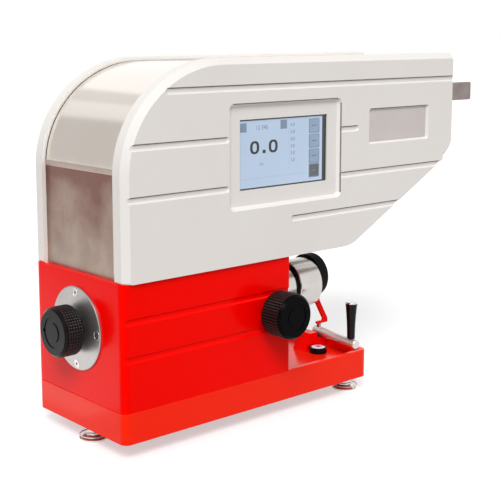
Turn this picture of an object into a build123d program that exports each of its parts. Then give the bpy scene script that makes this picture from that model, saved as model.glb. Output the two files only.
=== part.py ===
from build123d import *
from math import atan2, cos, degrees, pi, radians, sin
import os

# Pendulum rebound tester for rubber discs, in millimetres.
# The left foot's pad stands on the origin, X runs along the machine, Z points up
# and the side with the screen faces -Y. Plan sizes start at the body's left end,
# heights start at the underside of the base.

# Stand and base
FOOT_HEIGHT = 16.0
FOOT_PAD_RADIUS = 13.5
FOOT_PAD_HEIGHT = 5.0
FOOT_SPINDLE_RADIUS = 4.0
FOOT_HEX = 13.0
FOOT_HEX_HEIGHT = 5.0
FOOT_ENGAGEMENT = 16.0
FOOT_END_INSET = 15.0
FOOT_SIDE_INSET = 20.0

BODY_WIDTH = 145.0
BASE_LENGTH = 321.0
BASE_HEIGHT = 29.3
LEFT_CORNER_RADIUS = 7.0
RIGHT_CORNER_RADIUS = 10.0
TRAY_WALL = 5.0
TRAY_DEPTH = 9.5
TRAY_CORNER_RADIUS = 6.0
TRAY_EDGE_ROUNDING = 1.5

# Anvil block and its decorative grooves
BLOCK_LENGTH = 202.7
BLOCK_HEIGHT = 117.3
BLOCK_GROOVE_HEIGHTS = (112.0, 77.5)
BLOCK_EDGE_ROUNDING = 1.0

# Side panels
PANEL_THICKNESS = 17.0
PANEL_PROUD = 2.7
PANEL_LEFT_INSET = 1.5
PANEL_RIGHT_END = 456.0
PIVOT_COVER = 47.3
PANEL_SHOULDER = 240.0
PANEL_SHOULDER_LENGTH = 113.5
PANEL_SLOPE_TOP = 235.6
PANEL_SLOPE_START = 288.6
PANEL_EDGE_BEVEL = 6.0
PANEL_PLAIN_BORDER = 7.0
PANEL_TOP_CORNER_RADIUS = 8.5
PANEL_LOW_CORNER_RADIUS = 9.0
PANEL_TIP_RADIUS = 20.0
PANEL_BEND_RADIUS = 40.0

GROOVE_WIDTH = 6.4
GROOVE_DEPTH = 1.6
GROOVE_WALL_ANGLE = 45.0
PANEL_GROOVES = (
    (48.7, 470.0, 314.0),
    (-10.0, 122.0, 266.5),
    (265.5, 298.5, 267.6),
    (-10.0, 122.0, 220.6),
    (268.5, 470.0, 221.1),
    (202.0, 470.0, 184.1),
)

# Screen, its recess and the bare plate recess
SCREEN_CENTRE = (196.9, 250.4)
SCREEN_WIDTH = 116.8
SCREEN_HEIGHT = 67.0
SCREEN_DEPTH = 1.6
SCREEN_GLASS_THICKNESS = 1.1
SCREEN_MODULE_THICKNESS = 7.0
SCREEN_MODULE_BORDER = 4.0
RECESS_CENTRE = (197.2, 249.3)
RECESS_WIDTH = 150.0
RECESS_HEIGHT = 101.0
RECESS_DEPTH = 4.0
RECESS_WALL_ANGLE = 40.0
RECESS_CORNER_RADIUS = 6.0
PLATE_CENTRE = (361.7, 268.3)
PLATE_WIDTH = 95.5
PLATE_HEIGHT = 37.0
PLATE_DEPTH = 2.6
PLATE_WALL_ANGLE = 35.0

# Sheet covers between the panels
COVER_INSET = 4.0
COVER_THICKNESS = 1.5
COVER_SIDE_GAP = 0.2
SEAM_HEIGHT = 246.5
SEAM_GAP = 4.8
SEAM_STEP = 2.0
SEAM_LAP = 9.0
COVER_END_FLANGE = 16.0
FLOOR_SHEET_THICKNESS = 2.0
BRACKET_POSITIONS = (12.0, 158.0)
BRACKET_LENGTH = 20.0
BRACKET_FOOT = 16.0
BRACKET_THICKNESS = 3.0
BRACKET_HEIGHT = 24.0
BULKHEAD_POSITION = 276.0

# Pendulum: its radius is the standard 200 mm from the pivot to the line of impact
IMPACT_HEIGHT = 94.5
PENDULUM_RADIUS = 200.0
PENDULUM_TAIL = 44.5
PIVOT_POSITION = 335.0
ARM_DEPTH = 21.6
ARM_DROP = 1.1
ARM_THICKNESS = 8.0
ARM_CHAMFER = 1.2
ARM_SHAFT_WALL = 3.0
PENDULUM_HUB_RADIUS = 17.0
PENDULUM_HUB_WIDTH = 26.0
SHAFT_RADIUS = 5.0
SHAFT_END_MARGIN = 4.0
HAMMER_RADIUS = 8.2
STRIKER_RADIUS = 7.5
STRIKER_NECK = 5.0
STRIKER_GAP = 0.3

# Pivot frame
BEAM_START = 282.0
BEAM_END = 440.0
BEAM_THICKNESS = 17.0
CHEEK_THICKNESS = 10.0
CHEEK_INNER_FACE = 22.0
CHEEK_WIDTH = 60.0
CHEEK_DROP = 22.0
BEARING_OUTER_RADIUS = 13.0
BEARING_INNER_RADIUS = 7.0
BEARING_BALL_RADIUS = 2.4
BEARING_BALLS = 9
ENCODER_RADIUS = 18.0
ENCODER_THICKNESS = 1.5
ENCODER_GAP = 5.0
ENCODER_SLOTS = 24
MAGNET_RADIUS = 12.0
MAGNET_POSITION = 424.0
MAGNET_GAP = 0.3
MAGNET_CAP_RADIUS = 9.0
MAGNET_CAP_HEIGHT = 3.0

# Anvil, specimen and adjusting spindle
SPECIMEN_THICKNESS = 12.5
SPECIMEN_RADIUS = 23.5
SPECIMEN_LIFT = 6.4
SPECIMEN_FACE = 309.8
ANVIL_RADIUS = 27.0
ANVIL_LENGTH = 32.0
ANVIL_RING_THICKNESS = 2.2
ANVIL_RING_RADIUS = 24.5
STUB_RADIUS = 23.0
STUB_LENGTH = 24.0
SPINDLE_RADIUS = 20.0
SPINDLE_LENGTH = 158.0
SLEEVE_RADIUS = 25.0
SLEEVE_LENGTH = 54.0
LEAD_SCREW_RADIUS = 8.0
LEAD_SCREW_LENGTH = 138.0
NUT_LENGTH = 22.0
ANVIL_TRAVEL = 10.0
RUNNING_CLEARANCE = 0.05
FREE_CLEARANCE = 0.4

FLANGE_RADIUS = 39.6
FLANGE_THICKNESS = 2.0
FLANGE_PITCH_RADIUS = 34.0
FLANGE_SCREW_RADIUS = 2.5
FLANGE_SCREW_HEAD_RADIUS = 4.0
FLANGE_SCREW_LENGTH = 16.0
HEX_SOCKET = 2.5
ADJUST_KNOB_RADIUS = 23.0
ADJUST_KNOB_LENGTH = 21.0
ADJUST_KNOB_GAP = 4.5
ADJUST_KNOB_RIBS = 36

# Clamp knob on the front
CLAMP_POSITION = 179.0
CLAMP_KNOB_RADIUS = 22.0
CLAMP_KNOB_LENGTH = 27.0
CLAMP_KNOB_GAP = 6.5
CLAMP_KNOB_RIBS = 40
CLAMP_SCREW_RADIUS = 5.0
CLAMP_PAD_RADIUS = 4.5
CLAMP_PAD_LENGTH = 7.0
KNURL_DEPTH = 0.7

# Crank and specimen rest
CRANK_POSITION = (311.0, -8.5)
CRANK_HEIGHT = 38.0
CRANK_THROW = 58.0
CRANK_REST_ANGLE = -100.0
CRANK_ARM_RADIUS = 4.6
CRANK_ARM_OVERHANG = 9.5
CRANK_HUB_RADIUS = 6.5
CRANK_SADDLE_DROP = 1.0
CRANK_SWING_CLEARANCE = 0.7
CRANK_SHAFT_RADIUS = 4.4
CRANK_BLOCK_REACH = 27.5
CRANK_BLOCK_RAMP = 8.0
CRANK_BLOCK_HEIGHT = 19.0
CRANK_BLOCK_FRONT = 6.2
CRANK_BLOCK_REAR = 12.5
LIFT_ROD_RADIUS = 2.5
LIFT_TRAVEL = 3.0
REST_FOOT_THICKNESS = 2.5
REST_WIDTH = 6.0
REST_THICKNESS = 3.0
REST_LEAN = 13.5
REST_TIP_GAP = 0.3
GRIP_LENGTH = 38.0
GRIP_TOP_RADIUS = 6.4
GRIP_FOOT_RADIUS = 4.2
GRIP_CAP_THICKNESS = 1.6
GRIP_PIN_RADIUS = 2.0

# Bubble level on the tray
LEVEL_POSITION = (293.5, -24.6)
LEVEL_RADIUS = 9.5
LEVEL_HEIGHT = 6.0
LEVEL_LENS_RADIUS = 6.8

# Electronics and the mains inlet at the back
SUPPLY_SIZE = (95.0, 50.0, 38.0)
SUPPLY_POSITION = 30.0
SUPPLY_PLATE = 1.5
SUPPLY_LIP = 10.0
BOARD_SIZE = (120.0, 80.0)
BOARD_THICKNESS = 1.6
BOARD_STANDOFF = 12.0
INLET_CENTRE = (62.0, 178.0)
INLET_WIDTH = 48.0
INLET_HEIGHT = 28.0
INLET_FLANGE = 3.0
INLET_SOCKET = (24.0, 16.5, 15.0)
ROCKER_SIZE = (12.5, 20.0)
ROCKER_TILT = 8.0
ROCKER_PIN_RADIUS = 1.2
ROCKER_PIN_REACH = 1.5
ROCKER_PIVOT_DEPTH = 2.5
PORT_CENTRE = (116.0, 178.0)
PORT_SIZE = (30.0, 16.0)

# Places that follow from the sizes above
LEFT_END = -FOOT_END_INSET
PANEL_TOP = IMPACT_HEIGHT + PENDULUM_RADIUS + PIVOT_COVER
RIGHT_END = LEFT_END + BASE_LENGTH
HALF_WIDTH = BODY_WIDTH / 2
BLOCK_RIGHT = LEFT_END + BLOCK_LENGTH
SEAT_Z = FOOT_HEIGHT + BASE_HEIGHT
TRAY_Z = SEAT_Z - TRAY_DEPTH
BLOCK_TOP = SEAT_Z + BLOCK_HEIGHT
PANEL_OUTER = HALF_WIDTH + PANEL_PROUD
PANEL_INNER = PANEL_OUTER - PANEL_THICKNESS
PANEL_LEFT = LEFT_END + PANEL_LEFT_INSET
AXIS_Z = FOOT_HEIGHT + IMPACT_HEIGHT
PIVOT_X = LEFT_END + PIVOT_POSITION
PIVOT_Z = AXIS_Z + PENDULUM_RADIUS
FACE_X = LEFT_END + SPECIMEN_FACE
ANVIL_RIGHT = FACE_X - SPECIMEN_THICKNESS
ANVIL_LEFT = ANVIL_RIGHT - ANVIL_LENGTH
STUB_RIGHT = ANVIL_LEFT - ANVIL_RING_THICKNESS
STUB_LEFT = STUB_RIGHT - STUB_LENGTH
SPINDLE_LEFT = STUB_LEFT - SPINDLE_LENGTH
SLEEVE_LEFT = BLOCK_RIGHT - SLEEVE_LENGTH
COVER_TOP = FOOT_HEIGHT + PANEL_TOP - COVER_INSET - COVER_THICKNESS
BEAM_TOP = COVER_TOP
BEAM_BOTTOM = BEAM_TOP - BEAM_THICKNESS
CLAMP_X = LEFT_END + CLAMP_POSITION
CRANK_X = LEFT_END + CRANK_POSITION[0]
CRANK_Y = CRANK_POSITION[1]
CRANK_Z = FOOT_HEIGHT + CRANK_HEIGHT
SPECIMEN_Z = AXIS_Z + SPECIMEN_LIFT


def along_x(shape):
    """Turn a shape built along Z so that it lies along X."""
    return Rot(0, 90, 0) * shape


def along_y(shape):
    """Turn a shape built along Z so that it lies along Y."""
    return Rot(-90, 0, 0) * shape


def rod(radius, start, end, axis="Z", at=(0.0, 0.0)):
    """A round bar from start to end along an axis, through a point of the cross plane."""
    bar = Cylinder(radius, end - start)
    middle = (start + end) / 2
    if axis == "X":
        return Pos(middle, at[0], at[1]) * along_x(bar)
    if axis == "Y":
        return Pos(at[0], middle, at[1]) * along_y(bar)
    return Pos(at[0], at[1], middle) * bar


def block(low, high):
    """A box between two corners."""
    size = [b - a for a, b in zip(low, high)]
    middle = [(a + b) / 2 for a, b in zip(low, high)]
    return Pos(*middle) * Box(*size)


def groove_cutter(start, end, height, face_y, inward, width=GROOVE_WIDTH, depth=GROOVE_DEPTH):
    """A groove with sloping walls along X, sunk from a face at face_y."""
    plane = Plane(origin=((start + end) / 2, face_y, height), x_dir=(1, 0, 0), z_dir=(0, inward, 0))
    return extrude(plane * RectangleRounded(end - start, width, width / 2.2), depth, taper=GROOVE_WALL_ANGLE)


def pocket_cutter(centre, width, height, depth, face_y, inward, corner, angle):
    """A rectangular pocket with rounded corners and sloping walls."""
    plane = Plane(origin=(centre[0], face_y, centre[1]), x_dir=(1, 0, 0), z_dir=(0, inward, 0))
    return extrude(plane * RectangleRounded(width, height, corner), depth, taper=angle)


def feet():
    """Foot axes: one at the left end on the centre line, two at the right end."""
    right_x = RIGHT_END - FOOT_END_INSET
    side = HALF_WIDTH - FOOT_SIDE_INSET
    return {"left": (0.0, 0.0), "front": (right_x, -side), "rear": (right_x, side)}


def foot_pad(at):
    """Cup-shaped pad with a low cone that carries the spindle's ball."""
    profile = Polyline(
        (0, 0), (FOOT_PAD_RADIUS, 0), (FOOT_PAD_RADIUS, 1.8), (FOOT_PAD_RADIUS - 1.5, 2.4),
        (FOOT_SPINDLE_RADIUS + 2.0, FOOT_PAD_HEIGHT), (0, FOOT_PAD_HEIGHT), (0, 0),
    )
    return Pos(at[0], at[1], 0) * revolve(Plane.XZ * make_face(profile), Axis.Z)


def foot_spindle(at):
    """Levelling spindle with its hexagon, screwed into the base from below."""
    outline = Pos(0, 0, FOOT_PAD_HEIGHT) * RegularPolygon(FOOT_HEX / 2, 6, major_radius=False)
    hexagon = extrude(outline, FOOT_HEX_HEIGHT)
    stem = rod(FOOT_SPINDLE_RADIUS, FOOT_PAD_HEIGHT, FOOT_HEIGHT + FOOT_ENGAGEMENT)
    return Pos(at[0], at[1], 0) * (hexagon + stem)


def base_tray():
    """Painted base plate with the tray pocket at its right end."""
    plan = block((LEFT_END, -HALF_WIDTH, FOOT_HEIGHT), (RIGHT_END, HALF_WIDTH, SEAT_Z))
    uprights = plan.edges().filter_by(Axis.Z).sort_by(Axis.X)
    plan = fillet(uprights[:2], LEFT_CORNER_RADIUS)
    plan = fillet(plan.edges().filter_by(Axis.Z).sort_by(Axis.X)[-2:], RIGHT_CORNER_RADIUS)
    rim = plan.faces().sort_by(Axis.Z)[-1].edges().filter_by(lambda e: e.center().X > BLOCK_RIGHT)
    plan = fillet(rim, TRAY_EDGE_ROUNDING)
    pocket_left = BLOCK_RIGHT + 0.8
    pocket_right = RIGHT_END - TRAY_WALL
    pocket = Pos((pocket_left + pocket_right) / 2, 0, TRAY_Z) * extrude(
        RectangleRounded(pocket_right - pocket_left, BODY_WIDTH - 2 * TRAY_WALL, TRAY_CORNER_RADIUS),
        TRAY_DEPTH + 1,
    )
    plan -= pocket
    for at in feet().values():
        top = FOOT_HEIGHT + FOOT_ENGAGEMENT + 2
        plan -= rod(FOOT_SPINDLE_RADIUS + RUNNING_CLEARANCE, FOOT_HEIGHT - 1, top, at=at)
    plan -= rod(CRANK_SHAFT_RADIUS + RUNNING_CLEARANCE, FOOT_HEIGHT + 6, SEAT_Z, at=(CRANK_X, CRANK_Y))
    for at in base_screw_places():
        plan -= rod(3.2, FOOT_HEIGHT - 1, SEAT_Z + 1, at=at)
        plan -= rod(5.6, FOOT_HEIGHT - 1, FOOT_HEIGHT + 7, at=at)
    return plan


def base_screw_places():
    """Screws that hold the anvil block down from below."""
    reach_x = 28.0
    reach_y = HALF_WIDTH - 26.0
    left = LEFT_END + reach_x
    right = BLOCK_RIGHT - reach_x
    return [(x, y) for x in (left, right) for y in (-reach_y, reach_y)]


def base_screws():
    """Four cap screws from the underside of the base into the block."""
    screws = []
    for at in base_screw_places():
        head = rod(5.0, FOOT_HEIGHT + 1.0, FOOT_HEIGHT + 7.0, at=at)
        shank = rod(3.0, FOOT_HEIGHT + 7.0, SEAT_Z + 14.0, at=at)
        socket = extrude(Pos(at[0], at[1], FOOT_HEIGHT) * RegularPolygon(2.5, 6, major_radius=False), 4.0)
        screws.append(head + shank - socket)
    return Compound(children=screws)


def anvil_block():
    """Heavy painted block that backs the anvil, bored for the spindle and the clamp."""
    body = block((LEFT_END, -HALF_WIDTH, SEAT_Z), (BLOCK_RIGHT, HALF_WIDTH, BLOCK_TOP))
    body = fillet(body.edges().filter_by(Axis.Z).sort_by(Axis.X)[:2], LEFT_CORNER_RADIUS)
    body = fillet(body.edges().filter_by(Axis.Z).sort_by(Axis.X)[-2:], BLOCK_EDGE_ROUNDING)
    for height in BLOCK_GROOVE_HEIGHTS:
        for side in (-1, 1):
            body -= groove_cutter(
                LEFT_END - 10, BLOCK_RIGHT + 10, FOOT_HEIGHT + height, side * HALF_WIDTH, -side,
            )
    centre = (0.0, AXIS_Z)
    body -= rod(SPINDLE_RADIUS + FREE_CLEARANCE, LEFT_END + 12, BLOCK_RIGHT + 1, "X", centre)
    body -= rod(LEAD_SCREW_RADIUS + FREE_CLEARANCE, LEFT_END - 1, LEFT_END + 13, "X", centre)
    body -= rod(SLEEVE_RADIUS, SLEEVE_LEFT, BLOCK_RIGHT + 1, "X", centre)
    body -= rod(CLAMP_SCREW_RADIUS + RUNNING_CLEARANCE, -HALF_WIDTH - 1, 0, "Y", (CLAMP_X, AXIS_Z))
    for y, z in flange_screw_places():
        body -= rod(FLANGE_SCREW_RADIUS, LEFT_END - 1, LEFT_END + FLANGE_SCREW_LENGTH, "X", (y, z))
    for at in base_screw_places():
        body -= rod(3.0, SEAT_Z - 1, SEAT_Z + 16, at=at)
    return body


def panel_outline():
    """Side view of the housing: a tall left end, an elliptical shoulder and a raked nose."""
    top = FOOT_HEIGHT + PANEL_TOP
    shoulder = FOOT_HEIGHT + PANEL_SHOULDER
    right = LEFT_END + PANEL_RIGHT_END
    shoulder_end = PANEL_LEFT + PANEL_SHOULDER_LENGTH
    rise = EllipticalCenterArc(
        (shoulder_end, shoulder), PANEL_SHOULDER_LENGTH, PANEL_TOP - PANEL_SHOULDER,
        start_angle=90, arc_size=90,
    )
    rest = Polyline(
        (shoulder_end, top), (right, top), (right, FOOT_HEIGHT + PANEL_SLOPE_TOP),
        (LEFT_END + PANEL_SLOPE_START, BLOCK_TOP), (PANEL_LEFT, BLOCK_TOP), (PANEL_LEFT, shoulder),
    )
    face = make_face([rise, rest])
    radii = (
        ((right, top), PANEL_TOP_CORNER_RADIUS),
        ((right, FOOT_HEIGHT + PANEL_SLOPE_TOP), PANEL_TIP_RADIUS),
        ((LEFT_END + PANEL_SLOPE_START, BLOCK_TOP), PANEL_BEND_RADIUS),
        ((PANEL_LEFT, BLOCK_TOP), PANEL_LOW_CORNER_RADIUS),
    )
    for (x, z), radius in radii:
        corner = face.vertices().sort_by_distance((x, z, 0))[0]
        face = fillet(corner, radius)
    return face


def panel_blank():
    """The front panel before its recesses, bevelled except along its lower edges."""
    plane = Plane(origin=(0, -PANEL_INNER, 0), x_dir=(1, 0, 0), z_dir=(0, -1, 0))
    solid = extrude(plane * panel_outline(), PANEL_THICKNESS)
    outer = solid.faces().sort_by(Axis.Y)[0]
    bevelled = chamfer(outer.edges(), PANEL_EDGE_BEVEL)
    return bevelled + (solid & plain_border(plane))


def plain_border(plane):
    """Band along the bottom and the raked edge where the panel keeps a sharp rim."""
    start_x = PANEL_LEFT + PANEL_LOW_CORNER_RADIUS
    bend_x = LEFT_END + PANEL_SLOPE_START
    end_x = LEFT_END + PANEL_RIGHT_END - PANEL_TIP_RADIUS
    slope = (FOOT_HEIGHT + PANEL_SLOPE_TOP - BLOCK_TOP) / (PANEL_RIGHT_END - PANEL_SLOPE_START)
    end_z = BLOCK_TOP + slope * (end_x - bend_x)
    rise = PANEL_PLAIN_BORDER * (1 + slope ** 2) ** 0.5
    band = Polyline(
        (start_x, BLOCK_TOP - 1), (end_x, BLOCK_TOP - 1), (end_x, end_z + rise),
        (bend_x - PANEL_PLAIN_BORDER * slope / 2, BLOCK_TOP + PANEL_PLAIN_BORDER),
        (start_x, BLOCK_TOP + PANEL_PLAIN_BORDER), (start_x, BLOCK_TOP - 1),
    )
    return extrude(plane * make_face(band), PANEL_THICKNESS)


def cut_panel_grooves(panel, side):
    """The shadow grooves of one panel; side is -1 at the front and 1 at the back."""
    for start, end, height in PANEL_GROOVES:
        panel -= groove_cutter(
            LEFT_END + start, LEFT_END + end, FOOT_HEIGHT + height, side * PANEL_OUTER, -side,
        )
    return panel


def front_panel():
    """Front side panel with the screen recess, the screen window and the bare plate recess."""
    panel = cut_panel_grooves(panel_blank(), -1)
    centre = (LEFT_END + RECESS_CENTRE[0], FOOT_HEIGHT + RECESS_CENTRE[1])
    panel -= pocket_cutter(
        centre, RECESS_WIDTH, RECESS_HEIGHT, RECESS_DEPTH, -PANEL_OUTER, 1,
        RECESS_CORNER_RADIUS, RECESS_WALL_ANGLE,
    )
    plate = (LEFT_END + PLATE_CENTRE[0], FOOT_HEIGHT + PLATE_CENTRE[1])
    panel -= pocket_cutter(
        plate, PLATE_WIDTH, PLATE_HEIGHT, PLATE_DEPTH, -PANEL_OUTER, 1, 2.5, PLATE_WALL_ANGLE,
    )
    x, z = screen_centre()
    panel -= block(
        (x - SCREEN_WIDTH / 2, -PANEL_OUTER - 1, z - SCREEN_HEIGHT / 2),
        (x + SCREEN_WIDTH / 2, -PANEL_INNER + 1, z + SCREEN_HEIGHT / 2),
    )
    border = SCREEN_MODULE_BORDER
    panel -= block(
        (x - SCREEN_WIDTH / 2 - border, screen_glass_back(), z - SCREEN_HEIGHT / 2 - border),
        (x + SCREEN_WIDTH / 2 + border, -PANEL_INNER + 1, z + SCREEN_HEIGHT / 2 + border),
    )
    return panel


def rear_panel():
    """Rear side panel with the same outline and the cut-outs for inlet and data port."""
    panel = cut_panel_grooves(mirror(panel_blank(), Plane.XZ), 1)
    x, z = LEFT_END + INLET_CENTRE[0], FOOT_HEIGHT + INLET_CENTRE[1]
    panel -= block(
        (x - INLET_WIDTH / 2, PANEL_INNER - 1, z - INLET_HEIGHT / 2),
        (x + INLET_WIDTH / 2, PANEL_OUTER + 1, z + INLET_HEIGHT / 2),
    )
    x, z = LEFT_END + PORT_CENTRE[0], FOOT_HEIGHT + PORT_CENTRE[1]
    panel -= block(
        (x - PORT_SIZE[0] / 2, PANEL_INNER - 1, z - PORT_SIZE[1] / 2),
        (x + PORT_SIZE[0] / 2, PANEL_OUTER + 1, z + PORT_SIZE[1] / 2),
    )
    return panel


def screen_centre():
    """Centre of the screen in the row's X and Z."""
    return LEFT_END + SCREEN_CENTRE[0], FOOT_HEIGHT + SCREEN_CENTRE[1]


def screen_glass_front():
    """Y of the glass, a little behind the recess floor."""
    return -PANEL_OUTER + RECESS_DEPTH + SCREEN_DEPTH


def screen_glass_back():
    """Y of the back of the glass, where the display module begins."""
    return screen_glass_front() + SCREEN_GLASS_THICKNESS


def screen_glass():
    """Touch glass that fills the window."""
    x, z = screen_centre()
    return block(
        (x - SCREEN_WIDTH / 2, screen_glass_front(), z - SCREEN_HEIGHT / 2),
        (x + SCREEN_WIDTH / 2, screen_glass_back(), z + SCREEN_HEIGHT / 2),
    )


def display_module():
    """Display behind the glass, in the stepped seat at the back of the panel."""
    x, z = screen_centre()
    border = SCREEN_MODULE_BORDER
    front = screen_glass_back()
    case = block(
        (x - SCREEN_WIDTH / 2 - border, front, z - SCREEN_HEIGHT / 2 - border),
        (x + SCREEN_WIDTH / 2 + border, front + SCREEN_MODULE_THICKNESS, z + SCREEN_HEIGHT / 2 + border),
    )
    rear_rim = case.faces().sort_by(Axis.Y)[-1].edges()
    return fillet(rear_rim, 1.0)


def control_board():
    """Controller board on four pillars that stand on the display module."""
    x, z = screen_centre()
    start = screen_glass_back() + SCREEN_MODULE_THICKNESS
    board_y = start + BOARD_STANDOFF
    width, height = min(BOARD_SIZE[0], SCREEN_WIDTH), BOARD_SIZE[1]
    board = block(
        (x - width / 2, board_y, z - height / 2),
        (x + width / 2, board_y + BOARD_THICKNESS, z + height / 2),
    )
    for dx in (-1, 1):
        for dz in (-1, 1):
            at = (x + dx * (SCREEN_WIDTH / 2 - 6), z + dz * (SCREEN_HEIGHT / 2 - 4))
            board += rod(3.0, start, board_y, "Y", at)
    chips = ((-30, 12, 24, 24, 5), (12, 18, 16, 16, 3), (30, -18, 30, 14, 9), (-22, -24, 20, 12, 7))
    back = board_y + BOARD_THICKNESS
    for dx, dz, w, h, t in chips:
        board += block((x + dx - w / 2, back, z + dz - h / 2), (x + dx + w / 2, back + t, z + dz + h / 2))
    return board


def shoulder_strip(inset):
    """Curve of the cover at a given inset from the panels' outline."""
    centre = (PANEL_LEFT + PANEL_SHOULDER_LENGTH, FOOT_HEIGHT + PANEL_SHOULDER)
    return centre, PANEL_SHOULDER_LENGTH - inset, PANEL_TOP - PANEL_SHOULDER - inset


def upper_cover_sheet():
    """Steel sheet bent over the shoulder and the top, with a short flange at the nose."""
    start_z = FOOT_HEIGHT + SEAM_HEIGHT
    end_x = LEFT_END + PANEL_RIGHT_END - COVER_INSET
    edges = []
    ends = []
    for inset in (COVER_INSET, COVER_INSET + COVER_THICKNESS):
        centre, a, b = shoulder_strip(inset)
        left = centre[0] - a
        top = centre[1] + b
        nose = end_x - (inset - COVER_INSET)
        low = top - COVER_END_FLANGE + (inset - COVER_INSET)
        sweep = _start_angle(centre, b, start_z) - 90
        edges.append(EllipticalCenterArc(centre, a, b, start_angle=90, arc_size=sweep))
        first = edges[-1] @ 1
        ends.append(((first.X, first.Y), (centre[0], top), (nose, top), (nose, low), (left, start_z)))
    outer, inner = ends
    run_out = Polyline(outer[1], outer[2], outer[3], inner[3], inner[2], inner[1])
    closing = Line(outer[0], inner[0])
    face = make_face([edges[0], run_out, edges[1], closing])
    return _between_panels(face)


def _start_angle(centre, b, z):
    """Ellipse angle at which the left side of the curve reaches a height."""
    return 180 - degrees(atan2((z - centre[1]) / b, (1 - ((z - centre[1]) / b) ** 2) ** 0.5))


def _between_panels(face):
    """Extrude a side-view face over the space between the panels."""
    half = PANEL_INNER - COVER_SIDE_GAP
    plane = Plane(origin=(0, half, 0), x_dir=(1, 0, 0), z_dir=(0, -1, 0))
    return extrude(plane * face, 2 * half)


def lower_cover_sheet():
    """Flat sheet on the left end below the seam, joggled behind the upper sheet."""
    left = PANEL_LEFT + COVER_INSET
    inner = left + COVER_THICKNESS
    seam = FOOT_HEIGHT + SEAM_HEIGHT - SEAM_GAP
    lap = FOOT_HEIGHT + SEAM_HEIGHT + SEAM_LAP
    step = SEAM_STEP + COVER_THICKNESS
    profile = Polyline(
        (left, BLOCK_TOP), (left, seam), (left + SEAM_STEP + 0.6, seam + SEAM_STEP),
        (left + step, lap), (inner + step, lap), (inner + SEAM_STEP + 0.6, seam + SEAM_STEP - 0.4),
        (inner, seam - 0.4), (inner, BLOCK_TOP), (left, BLOCK_TOP),
    )
    return _between_panels(make_face(profile))


def bulkhead():
    """Folded sheet that closes the electronics bay from the pendulum's space."""
    floor = block(
        (BLOCK_RIGHT - 20, -PANEL_INNER + COVER_SIDE_GAP, BLOCK_TOP),
        (LEFT_END + BULKHEAD_POSITION, PANEL_INNER - COVER_SIDE_GAP, BLOCK_TOP + FLOOR_SHEET_THICKNESS),
    )
    wall = block(
        (LEFT_END + BULKHEAD_POSITION - FLOOR_SHEET_THICKNESS, -PANEL_INNER + COVER_SIDE_GAP, BLOCK_TOP),
        (LEFT_END + BULKHEAD_POSITION, PANEL_INNER - COVER_SIDE_GAP, BEAM_BOTTOM),
    )
    lip = block(
        (LEFT_END + BULKHEAD_POSITION - 20, -PANEL_INNER + COVER_SIDE_GAP, BEAM_BOTTOM - FLOOR_SHEET_THICKNESS),
        (LEFT_END + BULKHEAD_POSITION, PANEL_INNER - COVER_SIDE_GAP, BEAM_BOTTOM),
    )
    return floor + wall + lip


def top_beam():
    """Aluminium beam from panel to panel that carries the pivot and the magnet."""
    beam = block(
        (LEFT_END + BULKHEAD_POSITION - 24, -PANEL_INNER, BEAM_BOTTOM),
        (LEFT_END + BEAM_END, PANEL_INNER, BEAM_TOP),
    )
    window_left = LEFT_END + BEAM_START + CHEEK_WIDTH + 30
    window_right = LEFT_END + MAGNET_POSITION - MAGNET_RADIUS - 8
    for side in (-1, 1):
        low_y, high_y = sorted((side * (MAGNET_RADIUS + 2), side * (PANEL_INNER - 12)))
        beam -= block((window_left, low_y, BEAM_BOTTOM - 1), (window_right, high_y, BEAM_TOP + 1))
    return beam


def pivot_cheek(side):
    """Bearing plate on one side of the pendulum, hung from the beam."""
    low_y, high_y = sorted((side * CHEEK_INNER_FACE, side * (CHEEK_INNER_FACE + CHEEK_THICKNESS)))
    plate = block(
        (PIVOT_X - CHEEK_WIDTH / 2, low_y, PIVOT_Z - CHEEK_DROP),
        (PIVOT_X + CHEEK_WIDTH / 2, high_y, BEAM_BOTTOM),
    )
    lower = plate.edges().filter_by(Axis.Y).sort_by(Axis.Z)[:2]
    plate = fillet(lower, CHEEK_DROP * 0.7)
    plate -= rod(BEARING_OUTER_RADIUS, low_y - 1, high_y + 1, "Y", (PIVOT_X, PIVOT_Z))
    return plate


def pivot_bearing(side):
    """Ball bearing in a cheek: outer race, balls and shield in one stationary ring."""
    low_y, high_y = sorted((side * CHEEK_INNER_FACE, side * (CHEEK_INNER_FACE + CHEEK_THICKNESS)))
    place = (PIVOT_X, PIVOT_Z)
    ring = rod(BEARING_OUTER_RADIUS, low_y, high_y, "Y", place)
    ring -= rod(SHAFT_RADIUS + RUNNING_CLEARANCE, low_y - 1, high_y + 1, "Y", place)
    for face_y, sign in ((low_y, 1), (high_y, -1)):
        cut = rod(BEARING_OUTER_RADIUS - 2.0, -0.6, 0.6, "Y") - rod(BEARING_INNER_RADIUS, -1, 1, "Y")
        ring -= Pos(PIVOT_X, face_y, PIVOT_Z) * cut
    return ring


def pendulum_shaft():
    """Pivot shaft with a collar on each side of the hub."""
    front = -CHEEK_INNER_FACE - CHEEK_THICKNESS - SHAFT_END_MARGIN
    rear = encoder_y() + ENCODER_THICKNESS + SHAFT_END_MARGIN
    shaft = rod(SHAFT_RADIUS, front, rear, "Y", (PIVOT_X, PIVOT_Z))
    return chamfer(shaft.edges().filter_by(GeomType.CIRCLE), 0.6)


def pendulum_hub():
    """Clamping hub that joins the arm to the shaft."""
    half = PENDULUM_HUB_WIDTH / 2
    place = (PIVOT_X, PIVOT_Z)
    hub = rod(PENDULUM_HUB_RADIUS, -half, half, "Y", place)
    hub = chamfer(hub.edges().filter_by(GeomType.CIRCLE), 1.0)
    hub -= rod(SHAFT_RADIUS, -half - 1, half + 1, "Y", place)
    slot_half = ARM_THICKNESS / 2
    hub -= block(
        (arm_start(), -slot_half, arm_bottom()),
        (PIVOT_X + PENDULUM_HUB_RADIUS + 5, slot_half, arm_top()),
    )
    return hub


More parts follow.
